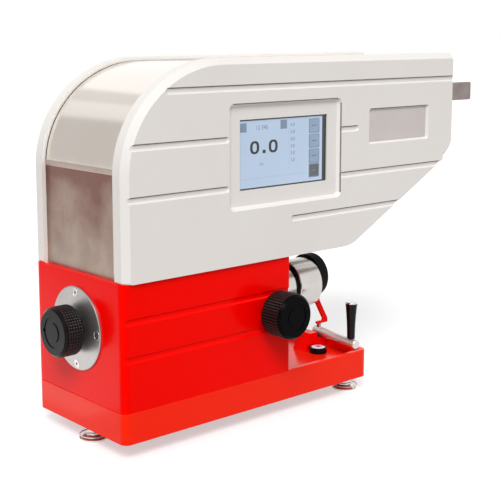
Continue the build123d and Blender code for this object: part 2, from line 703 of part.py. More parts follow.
def arm_start():
    """Inner end of the arm, past the shaft."""
    return PIVOT_X + SHAFT_RADIUS + ARM_SHAFT_WALL


def arm_bottom():
    """Underside of the arm, which hangs a little below the shaft's axis."""
    return PIVOT_Z - ARM_DEPTH / 2 - ARM_DROP


def arm_top():
    """Upper side of the arm."""
    return arm_bottom() + ARM_DEPTH


def pendulum_arm():
    """Flat bar held out level, with its end showing past the nose of the housing."""
    end = PIVOT_X + PENDULUM_RADIUS + PENDULUM_TAIL
    bar = block(
        (arm_start(), -ARM_THICKNESS / 2, arm_bottom()),
        (end, ARM_THICKNESS / 2, arm_top()),
    )
    bar = chamfer(bar.edges().filter_by(Axis.X), ARM_CHAMFER)
    bar = chamfer(bar.faces().sort_by(Axis.X)[-1].edges(), ARM_CHAMFER / 2)
    return bar


def striker_projection():
    """Distance from the arm's middle line to the striker's tip."""
    return PIVOT_X - FACE_X - STRIKER_GAP


def hammer_head():
    """Round steel mass on the lower side of the arm at the impact radius."""
    x = PIVOT_X + PENDULUM_RADIUS
    top = arm_bottom()
    tip = PIVOT_Z - striker_projection()
    bottom = tip + STRIKER_RADIUS
    head = rod(HAMMER_RADIUS, bottom, top, at=(x, 0))
    return chamfer(head.edges().filter_by(GeomType.CIRCLE), 0.8)


def hammer_cap():
    """Counter disc on the upper side of the arm that the magnet holds."""
    x = LEFT_END + MAGNET_POSITION
    return rod(MAGNET_CAP_RADIUS, arm_top(), arm_top() + MAGNET_CAP_HEIGHT, at=(x, 0))


def striker_tip():
    """Hardened ball-ended tip, 15 mm across, that strikes the rubber."""
    x = PIVOT_X + PENDULUM_RADIUS
    tip = PIVOT_Z - striker_projection()
    ball = Sphere(STRIKER_RADIUS)
    lower = Pos(x, 0, tip + STRIKER_RADIUS) * ball
    return lower & block(
        (x - STRIKER_RADIUS, -STRIKER_RADIUS, tip - 1),
        (x + STRIKER_RADIUS, STRIKER_RADIUS, tip + STRIKER_RADIUS),
    )


def encoder_y():
    """Front face of the encoder disc, behind the rear cheek."""
    return CHEEK_INNER_FACE + CHEEK_THICKNESS + ENCODER_GAP


def encoder_disc():
    """Slotted disc on the rear end of the shaft that reads the rebound angle."""
    y = encoder_y()
    place = (PIVOT_X, PIVOT_Z)
    disc = rod(ENCODER_RADIUS, y, y + ENCODER_THICKNESS, "Y", place)
    disc += rod(SHAFT_RADIUS + 3, y - 3, y + ENCODER_THICKNESS + 2, "Y", place)
    disc -= rod(SHAFT_RADIUS, y - 4, y + 6, "Y", place)
    for i in range(ENCODER_SLOTS):
        slot = Pos(ENCODER_RADIUS - 3.5, 0, 0) * Box(4.5, 6, 1.6)
        disc -= Pos(PIVOT_X, y, PIVOT_Z) * Rot(0, 360 * i / ENCODER_SLOTS, 0) * slot
    return disc


def encoder_sensor():
    """Fork sensor over the edge of the encoder disc, hung from the beam."""
    middle = encoder_y() + ENCODER_THICKNESS / 2
    low = PIVOT_Z + ENCODER_RADIUS - 7
    body = block((PIVOT_X - 6, middle - 4.5, low), (PIVOT_X + 6, middle + 4.5, BEAM_BOTTOM))
    gap = block((PIVOT_X - 7, middle - 1.8, low - 1), (PIVOT_X + 7, middle + 1.8, PIVOT_Z + ENCODER_RADIUS + 1.5))
    return body - gap


def holding_magnet():
    """Electromagnet under the beam that keeps the pendulum level until release."""
    face_z = arm_top() + MAGNET_CAP_HEIGHT + MAGNET_GAP
    place = (LEFT_END + MAGNET_POSITION, 0)
    can = rod(MAGNET_RADIUS, face_z, BEAM_BOTTOM, at=place)
    ring = rod(MAGNET_RADIUS - 3, face_z - 1, face_z + 0.8, at=place)
    ring -= rod(MAGNET_RADIUS - 7, face_z - 2, face_z + 2, at=place)
    return can - ring


def flange_screw_places():
    """Four screw axes on the flange: top, right, bottom and left, as (y, z)."""
    places = []
    for quarter in range(4):
        angle = radians(90 * quarter)
        places.append((FLANGE_PITCH_RADIUS * cos(angle), AXIS_Z + FLANGE_PITCH_RADIUS * sin(angle)))
    return places


def countersink(y, z, radius):
    """Cone cut from the flange's outer face for one screw head."""
    depth = radius - FLANGE_SCREW_RADIUS
    cone = Cone(radius, FLANGE_SCREW_RADIUS, depth)
    return Pos(LEFT_END - FLANGE_THICKNESS + depth / 2, y, z) * along_x(cone)


def flange():
    """Round steel flange on the left end that carries the lead screw."""
    place = (0.0, AXIS_Z)
    disc = rod(FLANGE_RADIUS, LEFT_END - FLANGE_THICKNESS, LEFT_END, "X", place)
    outer = disc.edges().filter_by(GeomType.CIRCLE).sort_by(Axis.X)[0]
    disc = chamfer(outer, 0.6)
    disc -= rod(LEAD_SCREW_RADIUS + RUNNING_CLEARANCE, LEFT_END - 10, LEFT_END + 1, "X", place)
    for y, z in flange_screw_places():
        disc -= rod(FLANGE_SCREW_RADIUS, LEFT_END - 10, LEFT_END + 1, "X", (y, z))
        disc -= countersink(y, z, FLANGE_SCREW_HEAD_RADIUS)
    return disc


def flange_screws():
    """Four countersunk socket screws, flush with the flange."""
    screws = []
    socket_depth = 2.0
    for y, z in flange_screw_places():
        end = LEFT_END + FLANGE_SCREW_LENGTH - 1
        screw = rod(FLANGE_SCREW_RADIUS, LEFT_END - FLANGE_THICKNESS, end, "X", (y, z))
        screw += countersink(y, z, FLANGE_SCREW_HEAD_RADIUS)
        hexagon = extrude(RegularPolygon(HEX_SOCKET / 2, 6, major_radius=False), socket_depth)
        screw -= Pos(LEFT_END - FLANGE_THICKNESS, y, z) * along_x(hexagon)
        screws.append(screw)
    return Compound(children=screws)


def knurled_knob(radius, length, ribs):
    """A knob along Z with its face at the top: ribbed rim, chamfer, dished face."""
    chamfer_size = 2.2
    body = Cylinder(radius, length, align=(Align.CENTER, Align.CENTER, Align.MIN))
    top = body.edges().filter_by(GeomType.CIRCLE).sort_by(Axis.Z)
    body = chamfer([top[0], top[-1]], chamfer_size)
    rib_groove = Pos(radius, 0, chamfer_size + 1.2) * Rot(0, 0, 45) * Box(
        KNURL_DEPTH * 2, KNURL_DEPTH * 2, length - 2 * chamfer_size - 2.4,
        align=(Align.CENTER, Align.CENTER, Align.MIN),
    )
    body -= [Rot(0, 0, 360 * i / ribs) * rib_groove for i in range(ribs)]
    face_ring = Pos(0, 0, length) * (Cylinder(radius * 0.62, 1.4) - Cylinder(radius * 0.40, 3))
    body -= face_ring
    return body


def adjust_knob():
    """Left knob that draws the anvil in and out."""
    knob = knurled_knob(ADJUST_KNOB_RADIUS, ADJUST_KNOB_LENGTH, ADJUST_KNOB_RIBS)
    knob -= Pos(0, ADJUST_KNOB_RADIUS * 0.62, ADJUST_KNOB_LENGTH) * Cylinder(1.8, 8)
    start = LEFT_END - FLANGE_THICKNESS - ADJUST_KNOB_GAP
    turned = Pos(start, 0, AXIS_Z) * Rot(0, -90, 0) * knob
    return turned - rod(LEAD_SCREW_RADIUS - 2, start - 8, start + 1, "X", (0, AXIS_Z))


def lead_screw():
    """Lead screw through the flange, with a shoulder and the journal for the knob."""
    place = (0.0, AXIS_Z)
    start = LEFT_END - FLANGE_THICKNESS - ADJUST_KNOB_GAP
    screw = rod(LEAD_SCREW_RADIUS, start, start + LEAD_SCREW_LENGTH, "X", place)
    screw = chamfer(screw.edges().filter_by(GeomType.CIRCLE).sort_by(Axis.X)[-1], 1.5)
    return screw + rod(LEAD_SCREW_RADIUS - 2, start - 8, start, "X", place)


def spindle_sleeve():
    """Bronze guide sleeve pressed in the block, with the clamp's cross hole."""
    place = (0.0, AXIS_Z)
    sleeve = rod(SLEEVE_RADIUS, SLEEVE_LEFT, BLOCK_RIGHT, "X", place)
    sleeve -= rod(SPINDLE_RADIUS + RUNNING_CLEARANCE, SLEEVE_LEFT - 1, BLOCK_RIGHT + 1, "X", place)
    sleeve -= rod(CLAMP_SCREW_RADIUS + RUNNING_CLEARANCE, -SLEEVE_RADIUS - 1, 0, "Y", (CLAMP_X, AXIS_Z))
    return sleeve


def anvil_spindle():
    """Hollow spindle that slides in the sleeve, with the visible stub at its right end."""
    place = (0.0, AXIS_Z)
    spindle = rod(SPINDLE_RADIUS, SPINDLE_LEFT, STUB_LEFT, "X", place)
    spindle = chamfer(spindle.edges().filter_by(GeomType.CIRCLE).sort_by(Axis.X)[0], 1.0)
    spindle += rod(STUB_RADIUS, STUB_LEFT, STUB_RIGHT, "X", place)
    bore_end = STUB_LEFT - 10
    spindle -= rod(LEAD_SCREW_RADIUS + FREE_CLEARANCE, SPINDLE_LEFT - 1, bore_end, "X", place)
    spindle -= rod(SPINDLE_RADIUS - 6, SPINDLE_LEFT - 1, SPINDLE_LEFT + NUT_LENGTH, "X", place)
    spindle -= set_screw_shape()
    return spindle


def spindle_nut():
    """Bronze nut pressed in the spindle's left end; the lead screw runs in it."""
    place = (0.0, AXIS_Z)
    nut = rod(SPINDLE_RADIUS - 6, SPINDLE_LEFT, SPINDLE_LEFT + NUT_LENGTH, "X", place)
    end = SPINDLE_LEFT + NUT_LENGTH + 1
    return nut - rod(LEAD_SCREW_RADIUS + RUNNING_CLEARANCE, SPINDLE_LEFT - 1, end, "X", place)


def set_screw_shape():
    """Space of the set screw in the stub's front side."""
    screw = Pos(STUB_RIGHT - 5, 0, AXIS_Z) * Rot(12, 0, 0) * along_y(
        Pos(0, 0, -STUB_RADIUS + 4) * Cylinder(2.5, 9)
    )
    return screw


def anvil_set_screw():
    """Socket set screw that locks the anvil head's stub."""
    screw = set_screw_shape()
    hexagon = extrude(RegularPolygon(1.25, 6, major_radius=False), 3.5)
    hexagon = along_y(Pos(0, 0, -STUB_RADIUS - 0.5) * hexagon)
    socket = Pos(STUB_RIGHT - 5, 0, AXIS_Z) * Rot(12, 0, 0) * hexagon
    return screw - socket


def anvil_ring():
    """Black spacer ring between the stub and the anvil head."""
    return rod(ANVIL_RING_RADIUS, STUB_RIGHT, ANVIL_LEFT, "X", (0, AXIS_Z))


def anvil_head():
    """Polished anvil cylinder behind the specimen."""
    head = rod(ANVIL_RADIUS, ANVIL_LEFT, ANVIL_RIGHT, "X", (0, AXIS_Z))
    return chamfer(head.edges().filter_by(GeomType.CIRCLE), 0.8)


def specimen():
    """Rubber disc, 12.5 mm thick, held against the anvil a little above its axis."""
    disc = rod(SPECIMEN_RADIUS, ANVIL_RIGHT, FACE_X, "X", (0, SPECIMEN_Z))
    return fillet(disc.edges().filter_by(GeomType.CIRCLE), 0.6)


def clamp_pad():
    """Brass pad that the clamp screw presses on the spindle without turning."""
    end = -SPINDLE_RADIUS - 0.3
    return rod(CLAMP_PAD_RADIUS, end - CLAMP_PAD_LENGTH, end, "Y", (CLAMP_X, AXIS_Z))


def clamp_screw():
    """Screw from the clamp knob to its pad."""
    end = -SPINDLE_RADIUS - 0.3 - CLAMP_PAD_LENGTH
    start = -HALF_WIDTH - CLAMP_KNOB_GAP - 12
    return rod(CLAMP_SCREW_RADIUS, start, end, "Y", (CLAMP_X, AXIS_Z))


def clamp_knob():
    """Front knob that clamps the anvil's spindle."""
    knob = knurled_knob(CLAMP_KNOB_RADIUS, CLAMP_KNOB_LENGTH, CLAMP_KNOB_RIBS)
    start = -HALF_WIDTH - CLAMP_KNOB_GAP
    turned = Pos(CLAMP_X, start, AXIS_Z) * Rot(90, 0, 0) * knob
    boss = rod(CLAMP_KNOB_RADIUS * 0.55, start, start + 4, "Y", (CLAMP_X, AXIS_Z))
    return turned + boss - rod(CLAMP_SCREW_RADIUS, start - 12, start + 5, "Y", (CLAMP_X, AXIS_Z))


def crank_block():
    """Ramped red block at the tray's end wall that guides the crank's shaft."""
    low_y = CRANK_Y - CRANK_BLOCK_FRONT
    high_y = CRANK_Y + CRANK_BLOCK_REAR
    wall = RIGHT_END - TRAY_WALL
    seat = crank_seat()
    start = CRANK_X - CRANK_BLOCK_REACH
    rise = CRANK_BLOCK_HEIGHT - (seat - TRAY_Z)
    swing = (CRANK_HUB_RADIUS ** 2 + CRANK_ARM_RADIUS ** 2) ** 0.5
    cheek_end = CRANK_X - swing - CRANK_SWING_CLEARANCE
    profile = Polyline(
        (start, TRAY_Z), (wall, TRAY_Z), (wall, seat), (cheek_end, seat), (cheek_end, seat + rise),
        (start + CRANK_BLOCK_RAMP, seat + rise), (start, TRAY_Z),
    )
    plane = Plane(origin=(0, high_y, 0), x_dir=(1, 0, 0), z_dir=(0, -1, 0))
    shape = extrude(plane * make_face(profile), high_y - low_y)
    return shape - rod(CRANK_SHAFT_RADIUS + RUNNING_CLEARANCE, TRAY_Z - 1, seat + 1, at=(CRANK_X, CRANK_Y))


def crank_seat():
    """Height of the block's face under the crank's hub."""
    return CRANK_Z - CRANK_ARM_RADIUS - 1.2


def crank_hub():
    """Black hub and shaft of the crank, bored for the lifting rod."""
    place = (CRANK_X, CRANK_Y)
    low = CRANK_Z - CRANK_ARM_RADIUS - 1.0
    hub = rod(CRANK_HUB_RADIUS, low, CRANK_Z - CRANK_SADDLE_DROP, at=place)
    hub += rod(CRANK_SHAFT_RADIUS, FOOT_HEIGHT + 8, low, at=place)
    hub -= rod(LIFT_ROD_RADIUS + RUNNING_CLEARANCE, FOOT_HEIGHT + 7, CRANK_Z + 20, at=place)
    return hub - crank_arm_bar()


def crank_direction(offset=0.0):
    """Unit vector from the crank's axis to its grip at rest."""
    angle = radians(CRANK_REST_ANGLE + offset)
    return cos(angle), sin(angle)


def crank_arm_bar():
    """Round bar of the arm from just past the hub to its flat end."""
    start = -CRANK_HUB_RADIUS
    end = CRANK_THROW + CRANK_ARM_OVERHANG
    bar = Pos((start + end) / 2, 0, 0) * along_x(Cylinder(CRANK_ARM_RADIUS, end - start))
    ends = bar.edges().filter_by(GeomType.CIRCLE).sort_by(Axis.X)
    bar = chamfer([ends[0], ends[-1]], 0.6)
    return Pos(CRANK_X, CRANK_Y, CRANK_Z) * Rot(0, 0, CRANK_REST_ANGLE) * bar


def crank_arm():
    """Bright arm, cross-drilled for the lifting rod and the grip's pin."""
    arm = crank_arm_bar()
    arm -= rod(LIFT_ROD_RADIUS + RUNNING_CLEARANCE, CRANK_Z - 20, CRANK_Z + 20, at=(CRANK_X, CRANK_Y))
    x, y = grip_place()
    return arm - rod(GRIP_PIN_RADIUS, CRANK_Z - 2, CRANK_Z + 20, at=(x, y))


def grip_place():
    """Axis of the crank's grip."""
    ux, uy = crank_direction()
    return CRANK_X + ux * CRANK_THROW, CRANK_Y + uy * CRANK_THROW


def grip_start():
    """Height of the grip's foot, just above the arm."""
    return CRANK_Z + CRANK_ARM_RADIUS + 0.4


def grip_pin():
    """Steel pin on which the grip turns."""
    x, y = grip_place()
    return rod(GRIP_PIN_RADIUS, CRANK_Z - 2, grip_start() + GRIP_LENGTH * 0.8, at=(x, y))


def grip():
    """Tapered black grip, waisted near its foot."""
    x, y = grip_place()
    low = grip_start()
    high = low + GRIP_LENGTH
    waist = low + GRIP_LENGTH * 0.2
    side = Spline(
        (GRIP_FOOT_RADIUS, low), (GRIP_FOOT_RADIUS + 0.1, waist), (GRIP_TOP_RADIUS, high),
        tangents=((0, 1), (0.12, 1)),
    )
    rest = Polyline((GRIP_TOP_RADIUS, high), (0, high), (0, low), (GRIP_FOOT_RADIUS, low))
    body = revolve(Plane.XZ * make_face([side, rest]), Axis.Z)
    body -= rod(GRIP_PIN_RADIUS + RUNNING_CLEARANCE, low - 1, low + GRIP_LENGTH * 0.8 + 1)
    return Pos(x, y, 0) * body


def grip_cap():
    """Bright domed cap on the grip."""
    x, y = grip_place()
    high = grip_start() + GRIP_LENGTH
    cap = rod(GRIP_TOP_RADIUS, high, high + GRIP_CAP_THICKNESS, at=(x, y))
    return fillet(cap.edges().filter_by(GeomType.CIRCLE).sort_by(Axis.Z)[-1], 0.9)


def rest_foot_z():
    """Height of the specimen rest's foot: clear of the hub when lowered."""
    return CRANK_Z + CRANK_ARM_RADIUS + LIFT_TRAVEL + 0.5


def lift_rod():
    """Rod that the crank's cam raises under the specimen rest."""
    return rod(LIFT_ROD_RADIUS, FOOT_HEIGHT + 6 + LIFT_TRAVEL + 1.5, rest_foot_z(), at=(CRANK_X, CRANK_Y))


def rest_finger():
    """Red bent strip that carries the specimen's lower edge."""
    foot = rest_foot_z()
    low = foot + REST_FOOT_THICKNESS
    reach = SPECIMEN_RADIUS ** 2 - (abs(CRANK_Y) + REST_THICKNESS / 2) ** 2
    edge = SPECIMEN_Z - reach ** 0.5
    tip = edge - REST_TIP_GAP - (REST_THICKNESS * abs(CRANK_Y) / reach ** 0.5)
    right = CRANK_X + LIFT_ROD_RADIUS + REST_WIDTH + 3.5
    left = CRANK_X - LIFT_ROD_RADIUS - 1.5
    top_right = right - REST_LEAN
    profile = Polyline(
        (left, foot), (right, foot), (right, low + 2), (top_right + 0.6, tip - 5), (top_right, tip),
        (top_right - REST_WIDTH, tip), (top_right - REST_WIDTH + 0.6, tip - 5.5), (right - REST_WIDTH, low + 1.5),
        (right - REST_WIDTH - 1.5, low), (left, low), (left, foot),
    )
    plane = Plane(origin=(0, CRANK_Y + REST_THICKNESS / 2, 0), x_dir=(1, 0, 0), z_dir=(0, -1, 0))
    return extrude(plane * make_face(profile), REST_THICKNESS)


def level_body():
    """Round bubble level's black case on the tray floor."""
    at = (LEFT_END + LEVEL_POSITION[0], LEVEL_POSITION[1])
    case = rod(LEVEL_RADIUS, TRAY_Z, TRAY_Z + LEVEL_HEIGHT, at=at)
    case = chamfer(case.edges().filter_by(GeomType.CIRCLE).sort_by(Axis.Z)[-1], 0.8)
    return case - rod(LEVEL_LENS_RADIUS, TRAY_Z + 2, TRAY_Z + LEVEL_HEIGHT + 1, at=at)


def level_vial():
    """Clear vial in the level's case, slightly domed."""
    at = (LEFT_END + LEVEL_POSITION[0], LEVEL_POSITION[1])
    vial = rod(LEVEL_LENS_RADIUS, TRAY_Z + 2, TRAY_Z + LEVEL_HEIGHT, at=at)
    return fillet(vial.edges().filter_by(GeomType.CIRCLE).sort_by(Axis.Z)[-1], 0.8)


def power_supply():
    """Enclosed supply on the block's top, with its mounting lips."""
    length, width, height = SUPPLY_SIZE
    x = LEFT_END + SUPPLY_POSITION
    low = BLOCK_TOP + SUPPLY_PLATE
    case = block((x, -width / 2, low), (x + length, width / 2, low + height))
    case = fillet(case.edges().filter_by(Axis.Z), 2.0)
    return case + block((x - SUPPLY_LIP, -width / 2, BLOCK_TOP), (x + length + SUPPLY_LIP, width / 2, low))


def panel_brackets():
    """Four steel angles that bolt the panels to the block's top."""
    angles = []
    for x in (LEFT_END + BRACKET_POSITIONS[0], LEFT_END + BRACKET_POSITIONS[1]):
        for side in (-1, 1):
            end = x + BRACKET_LENGTH
            foot_low, foot_high = sorted((side * (PANEL_INNER - BRACKET_FOOT), side * PANEL_INNER))
            wall_low, wall_high = sorted((side * (PANEL_INNER - BRACKET_THICKNESS), side * PANEL_INNER))
            angle = block((x, foot_low, BLOCK_TOP), (end, foot_high, BLOCK_TOP + BRACKET_THICKNESS))
            angle += block((x, wall_low, BLOCK_TOP), (end, wall_high, BLOCK_TOP + BRACKET_HEIGHT))
            angles.append(angle)
    return Compound(children=angles)


def power_inlet():
    """Inlet module with the socket on the left and the well of the switch on the right."""
    x, z = LEFT_END + INLET_CENTRE[0], FOOT_HEIGHT + INLET_CENTRE[1]
    depth = PANEL_THICKNESS + 10
    module = block(
        (x - INLET_WIDTH / 2, PANEL_OUTER - depth, z - INLET_HEIGHT / 2),
        (x + INLET_WIDTH / 2, PANEL_OUTER, z + INLET_HEIGHT / 2),
    )
    lip = block(
        (x - INLET_WIDTH / 2 - INLET_FLANGE, PANEL_OUTER, z - INLET_HEIGHT / 2 - INLET_FLANGE),
        (x + INLET_WIDTH / 2 + INLET_FLANGE, PANEL_OUTER + 2.0, z + INLET_HEIGHT / 2 + INLET_FLANGE),
    )
    module += chamfer(lip.faces().sort_by(Axis.Y)[-1].edges(), 0.8)
    width, height, sink = INLET_SOCKET
    socket_x = x + 8
    front = PANEL_OUTER + 3
    module -= block(
        (socket_x - width / 2, front - 3 - sink, z - height / 2),
        (socket_x + width / 2, front, z + height / 2),
    )
    pins = [(-7, -2), (0, 3), (7, -2)]
    for dx, dz in pins:
        module += block(
            (socket_x + dx - 1, front - 4 - sink, z + dz - 2), (socket_x + dx + 1, front - 8, z + dz + 2),
        )
    module -= block(
        (rocker_x() - ROCKER_SIZE[0] / 2 - 0.5, PANEL_OUTER - 8, z - ROCKER_SIZE[1] / 2 - 0.6),
        (rocker_x() + ROCKER_SIZE[0] / 2 + 0.5, front, z + ROCKER_SIZE[1] / 2 + 0.6),
    )
    return module - rocker_pin(ROCKER_PIN_RADIUS + RUNNING_CLEARANCE, ROCKER_PIN_REACH + 0.2)


def rocker_x():
    """Middle of the mains switch."""
    return LEFT_END + INLET_CENTRE[0] - 15


def power_rocker():
    """Rocker of the mains switch, resting with its lower half pressed in."""
    z = FOOT_HEIGHT + INLET_CENTRE[1]
    half_x, half_z = ROCKER_SIZE[0] / 2, ROCKER_SIZE[1] / 2 - 0.6
    pivot = PANEL_OUTER - ROCKER_PIVOT_DEPTH
    profile = Polyline(
        (-half_z, -1.0), (-half_z, 3.2), (0, 2.0), (half_z, 3.2), (half_z, -1.0),
        (0, -3.5), (-half_z, -1.0),
    )
    plane = Plane(origin=(rocker_x(), pivot, z), x_dir=(0, 0, -1), z_dir=(1, 0, 0))
    body = extrude(plane * (Rot(0, 0, ROCKER_TILT) * make_face(profile)), half_x, both=True)
    return body + rocker_pin(ROCKER_PIN_RADIUS, ROCKER_PIN_REACH)


def rocker_pin(radius, reach):
    """Pivot pin of the rocker, or with a larger radius and reach its bore."""
    half = ROCKER_SIZE[0] / 2 + reach
    centre = (PANEL_OUTER - ROCKER_PIVOT_DEPTH, FOOT_HEIGHT + INLET_CENTRE[1])
    return rod(radius, rocker_x() - half, rocker_x() + half, "X", centre)


def data_port():
    """Square data socket in a plain metal shell."""
    x, z = LEFT_END + PORT_CENTRE[0], FOOT_HEIGHT + PORT_CENTRE[1]
    width, height = PORT_SIZE
    shell = block(
        (x - width / 2, PANEL_OUTER - PANEL_THICKNESS - 2, z - height / 2),
        (x + width / 2, PANEL_OUTER - 0.5, z + height / 2),
    )
    for dx in (-7.0, 7.0):
        shell -= block((x + dx - 5.5, PANEL_OUTER - 10, z - 5), (x + dx + 5.5, PANEL_OUTER + 1, z + 5))
        shell += block((x + dx - 4, PANEL_OUTER - 10.5, z - 0.8), (x + dx + 4, PANEL_OUTER - 3, z + 0.8))
    return shell


def parts():
    """Every node of the machine by name."""
    nodes = {
        "base_tray": base_tray(), "base_screws": base_screws(), "anvil_block": anvil_block(),
        "front_panel": front_panel(), "rear_panel": rear_panel(),
        "upper_cover_sheet": upper_cover_sheet(), "lower_cover_sheet": lower_cover_sheet(),
        "bulkhead": bulkhead(), "panel_brackets": panel_brackets(), "top_beam": top_beam(),
        "front_cheek": pivot_cheek(-1), "rear_cheek": pivot_cheek(1),
        "front_bearing": pivot_bearing(-1), "rear_bearing": pivot_bearing(1),
        "encoder_sensor": encoder_sensor(), "holding_magnet": holding_magnet(),
        "pendulum_shaft": pendulum_shaft(), "pendulum_hub": pendulum_hub(),
        "pendulum_arm": pendulum_arm(), "hammer_head": hammer_head(), "hammer_cap": hammer_cap(),
        "striker_tip": striker_tip(), "encoder_disc": encoder_disc(),
        "screen_glass": screen_glass(), "display_module": display_module(), "control_board": control_board(),
        "power_supply": power_supply(), "power_inlet": power_inlet(), "power_rocker": power_rocker(),
        "data_port": data_port(),
        "flange": flange(), "flange_screws": flange_screws(), "adjust_knob": adjust_knob(),
        "lead_screw": lead_screw(), "spindle_sleeve": spindle_sleeve(), "anvil_spindle": anvil_spindle(),
        "spindle_nut": spindle_nut(), "anvil_set_screw": anvil_set_screw(), "anvil_ring": anvil_ring(),
        "anvil_head": anvil_head(), "specimen": specimen(),
        "clamp_pad": clamp_pad(), "clamp_screw": clamp_screw(), "clamp_knob": clamp_knob(),
        "crank_block": crank_block(), "crank_hub": crank_hub(), "crank_arm": crank_arm(),
        "grip_pin": grip_pin(), "grip": grip(), "grip_cap": grip_cap(),
        "lift_rod": lift_rod(), "rest_finger": rest_finger(),
        "level_body": level_body(), "level_vial": level_vial(),
    }
    for name, at in feet().items():
        nodes["foot_pad_" + name] = foot_pad(at)
        nodes["foot_spindle_" + name] = foot_spindle(at)
    return nodes


os.makedirs("parts", exist_ok=True)
for node_name, solid in parts().items():
    solid.label = node_name
    export_step(solid, "parts/" + node_name + ".step")
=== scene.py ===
"""Dressing of the pendulum rebound tester: finishes, fine pieces, light and camera."""

import logging
from dataclasses import dataclass
from enum import Enum
from typing import Callable, Sequence

import bpy
import numpy as np
from mathutils import Matrix, Vector


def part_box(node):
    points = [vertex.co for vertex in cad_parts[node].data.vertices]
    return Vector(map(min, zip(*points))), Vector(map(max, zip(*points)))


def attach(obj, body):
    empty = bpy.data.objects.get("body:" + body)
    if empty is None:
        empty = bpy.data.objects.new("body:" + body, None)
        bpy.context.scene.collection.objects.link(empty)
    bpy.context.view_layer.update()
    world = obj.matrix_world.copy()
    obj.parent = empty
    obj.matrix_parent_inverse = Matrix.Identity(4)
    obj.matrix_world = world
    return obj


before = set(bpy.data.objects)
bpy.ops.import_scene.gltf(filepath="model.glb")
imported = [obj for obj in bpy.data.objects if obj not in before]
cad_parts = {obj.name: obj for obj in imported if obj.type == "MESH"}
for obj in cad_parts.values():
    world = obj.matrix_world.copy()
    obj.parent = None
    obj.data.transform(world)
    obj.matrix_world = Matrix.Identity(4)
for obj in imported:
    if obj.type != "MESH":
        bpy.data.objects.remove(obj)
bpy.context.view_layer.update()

MM = 0.001
COAT_ROUGHNESS = 0.1
LEAST_ROUGHNESS = 0.02
BROAD_SCALE = 22.0
BAND_SHARE = 0.12
PATCH_EDGES = (0.35, 0.75)
CORNER_POINTS = 7
LOG = logging.getLogger("rebound_tester")

Colour = tuple[float, float, float]
Point = tuple[float, float, float]
Span = tuple[float, float]
Inputs = dict[str | int, object]

WHITE = (1.0, 1.0, 1.0, 1.0)
MIX_FIRST, MIX_SECOND, MIX_RESULT = 6, 7, 2


def srgb(red: float, green: float, blue: float) -> Colour:
    """Linear colour of 0-255 display values."""
    def linear(value: float) -> float:
        """One channel by the display curve: a straight foot, then a 2.4 power."""
        share = value / 255.0
        return share / 12.92 if share <= 0.04045 else ((share + 0.055) / 1.055) ** 2.4
    return linear(red), linear(green), linear(blue)


class Direction(Enum):
    """Axis that a turned piece follows."""

    X = "X"
    Y = "Y"
    Z = "Z"


def feed(tree: bpy.types.NodeTree, node: bpy.types.Node, inputs: Inputs) -> None:
    """Gives a node's inputs their values; a socket among them is linked."""
    for key, value in inputs.items():
        if isinstance(value, bpy.types.NodeSocket):
            tree.links.new(value, node.inputs[key])
        else:
            node.inputs[key].default_value = value


def add_node(
    tree: bpy.types.NodeTree, kind: str, inputs: Inputs | None = None, **settings: object,
) -> bpy.types.Node:
    """Adds a node to a tree.

    Args:
        tree: Tree of a material, a world or a group.
        kind: The node's type.
        inputs: Values or sockets for its inputs, by label or number.
        **settings: Properties of the node, set before its inputs.

    Returns:
        The new node.
    """
    made = tree.nodes.new(kind)
    for key, value in settings.items():
        setattr(made, key, value)
    feed(tree, made, inputs or {})
    return made


class EffectGroup:
    """A shader node group with named sockets, built once and reused."""

    def __init__(
        self, name: str, inputs: Sequence[tuple[str, str, object]], outputs: Sequence[tuple[str, str]],
    ) -> None:
        """Creates the group and its sockets.

        Args:
            name: Name of the node group.
            inputs: Socket name, socket type and default value of each input.
            outputs: Socket name and socket type of each output.
        """
        self.tree = bpy.data.node_groups.new(name, "ShaderNodeTree")
        for label, kind, value in inputs:
            socket = self.tree.interface.new_socket(label, in_out="INPUT", socket_type=kind)
            socket.default_value = value
        for label, kind in outputs:
            self.tree.interface.new_socket(label, in_out="OUTPUT", socket_type=kind)
        self.take = self.tree.nodes.new("NodeGroupInput").outputs
        self._exit = self.tree.nodes.new("NodeGroupOutput")
        self.place = self.node("ShaderNodeTexCoord").outputs["Object"]

    def node(self, kind: str, inputs: Inputs | None = None, **settings: object) -> bpy.types.Node:
        """Adds a node to the group, as add_node does."""
        return add_node(self.tree, kind, inputs, **settings)

    def noise(self, place: bpy.types.NodeSocket, detail: float, scale: object) -> bpy.types.NodeSocket:
        """Value of a noise at a place; its scale is a number or a socket."""
        made = self.node("ShaderNodeTexNoise", {"Vector": place, "Detail": detail, "Scale": scale})
        return made.outputs["Fac"]

    def math(self, operation: str, first: object, second: object) -> bpy.types.NodeSocket:
        """Result of a math node on two sockets or numbers."""
        return self.node("ShaderNodeMath", {0: first, 1: second}, operation=operation).outputs[0]

    def give(self, results: Inputs) -> bpy.types.NodeTree:
        """Links the group's outputs and gives the finished tree."""
        feed(self.tree, self._exit, results)
        return self.tree


def speckle_group() -> bpy.types.NodeTree:
    """Fine even grain in the surface, with a broad noise for its gloss.

    Returns:
        Group with Scale in, Height and Mask out.
    """
    group = EffectGroup(
        "fine_speckle",
        [("Scale", "NodeSocketFloat", 900.0)],
        [("Height", "NodeSocketFloat"), ("Mask", "NodeSocketFloat")],
    )
    fine = group.noise(group.place, 3.0, group.take["Scale"])
    broad = group.noise(group.place, 2.0, BROAD_SCALE)
    return group.give({"Height": fine, "Mask": broad})


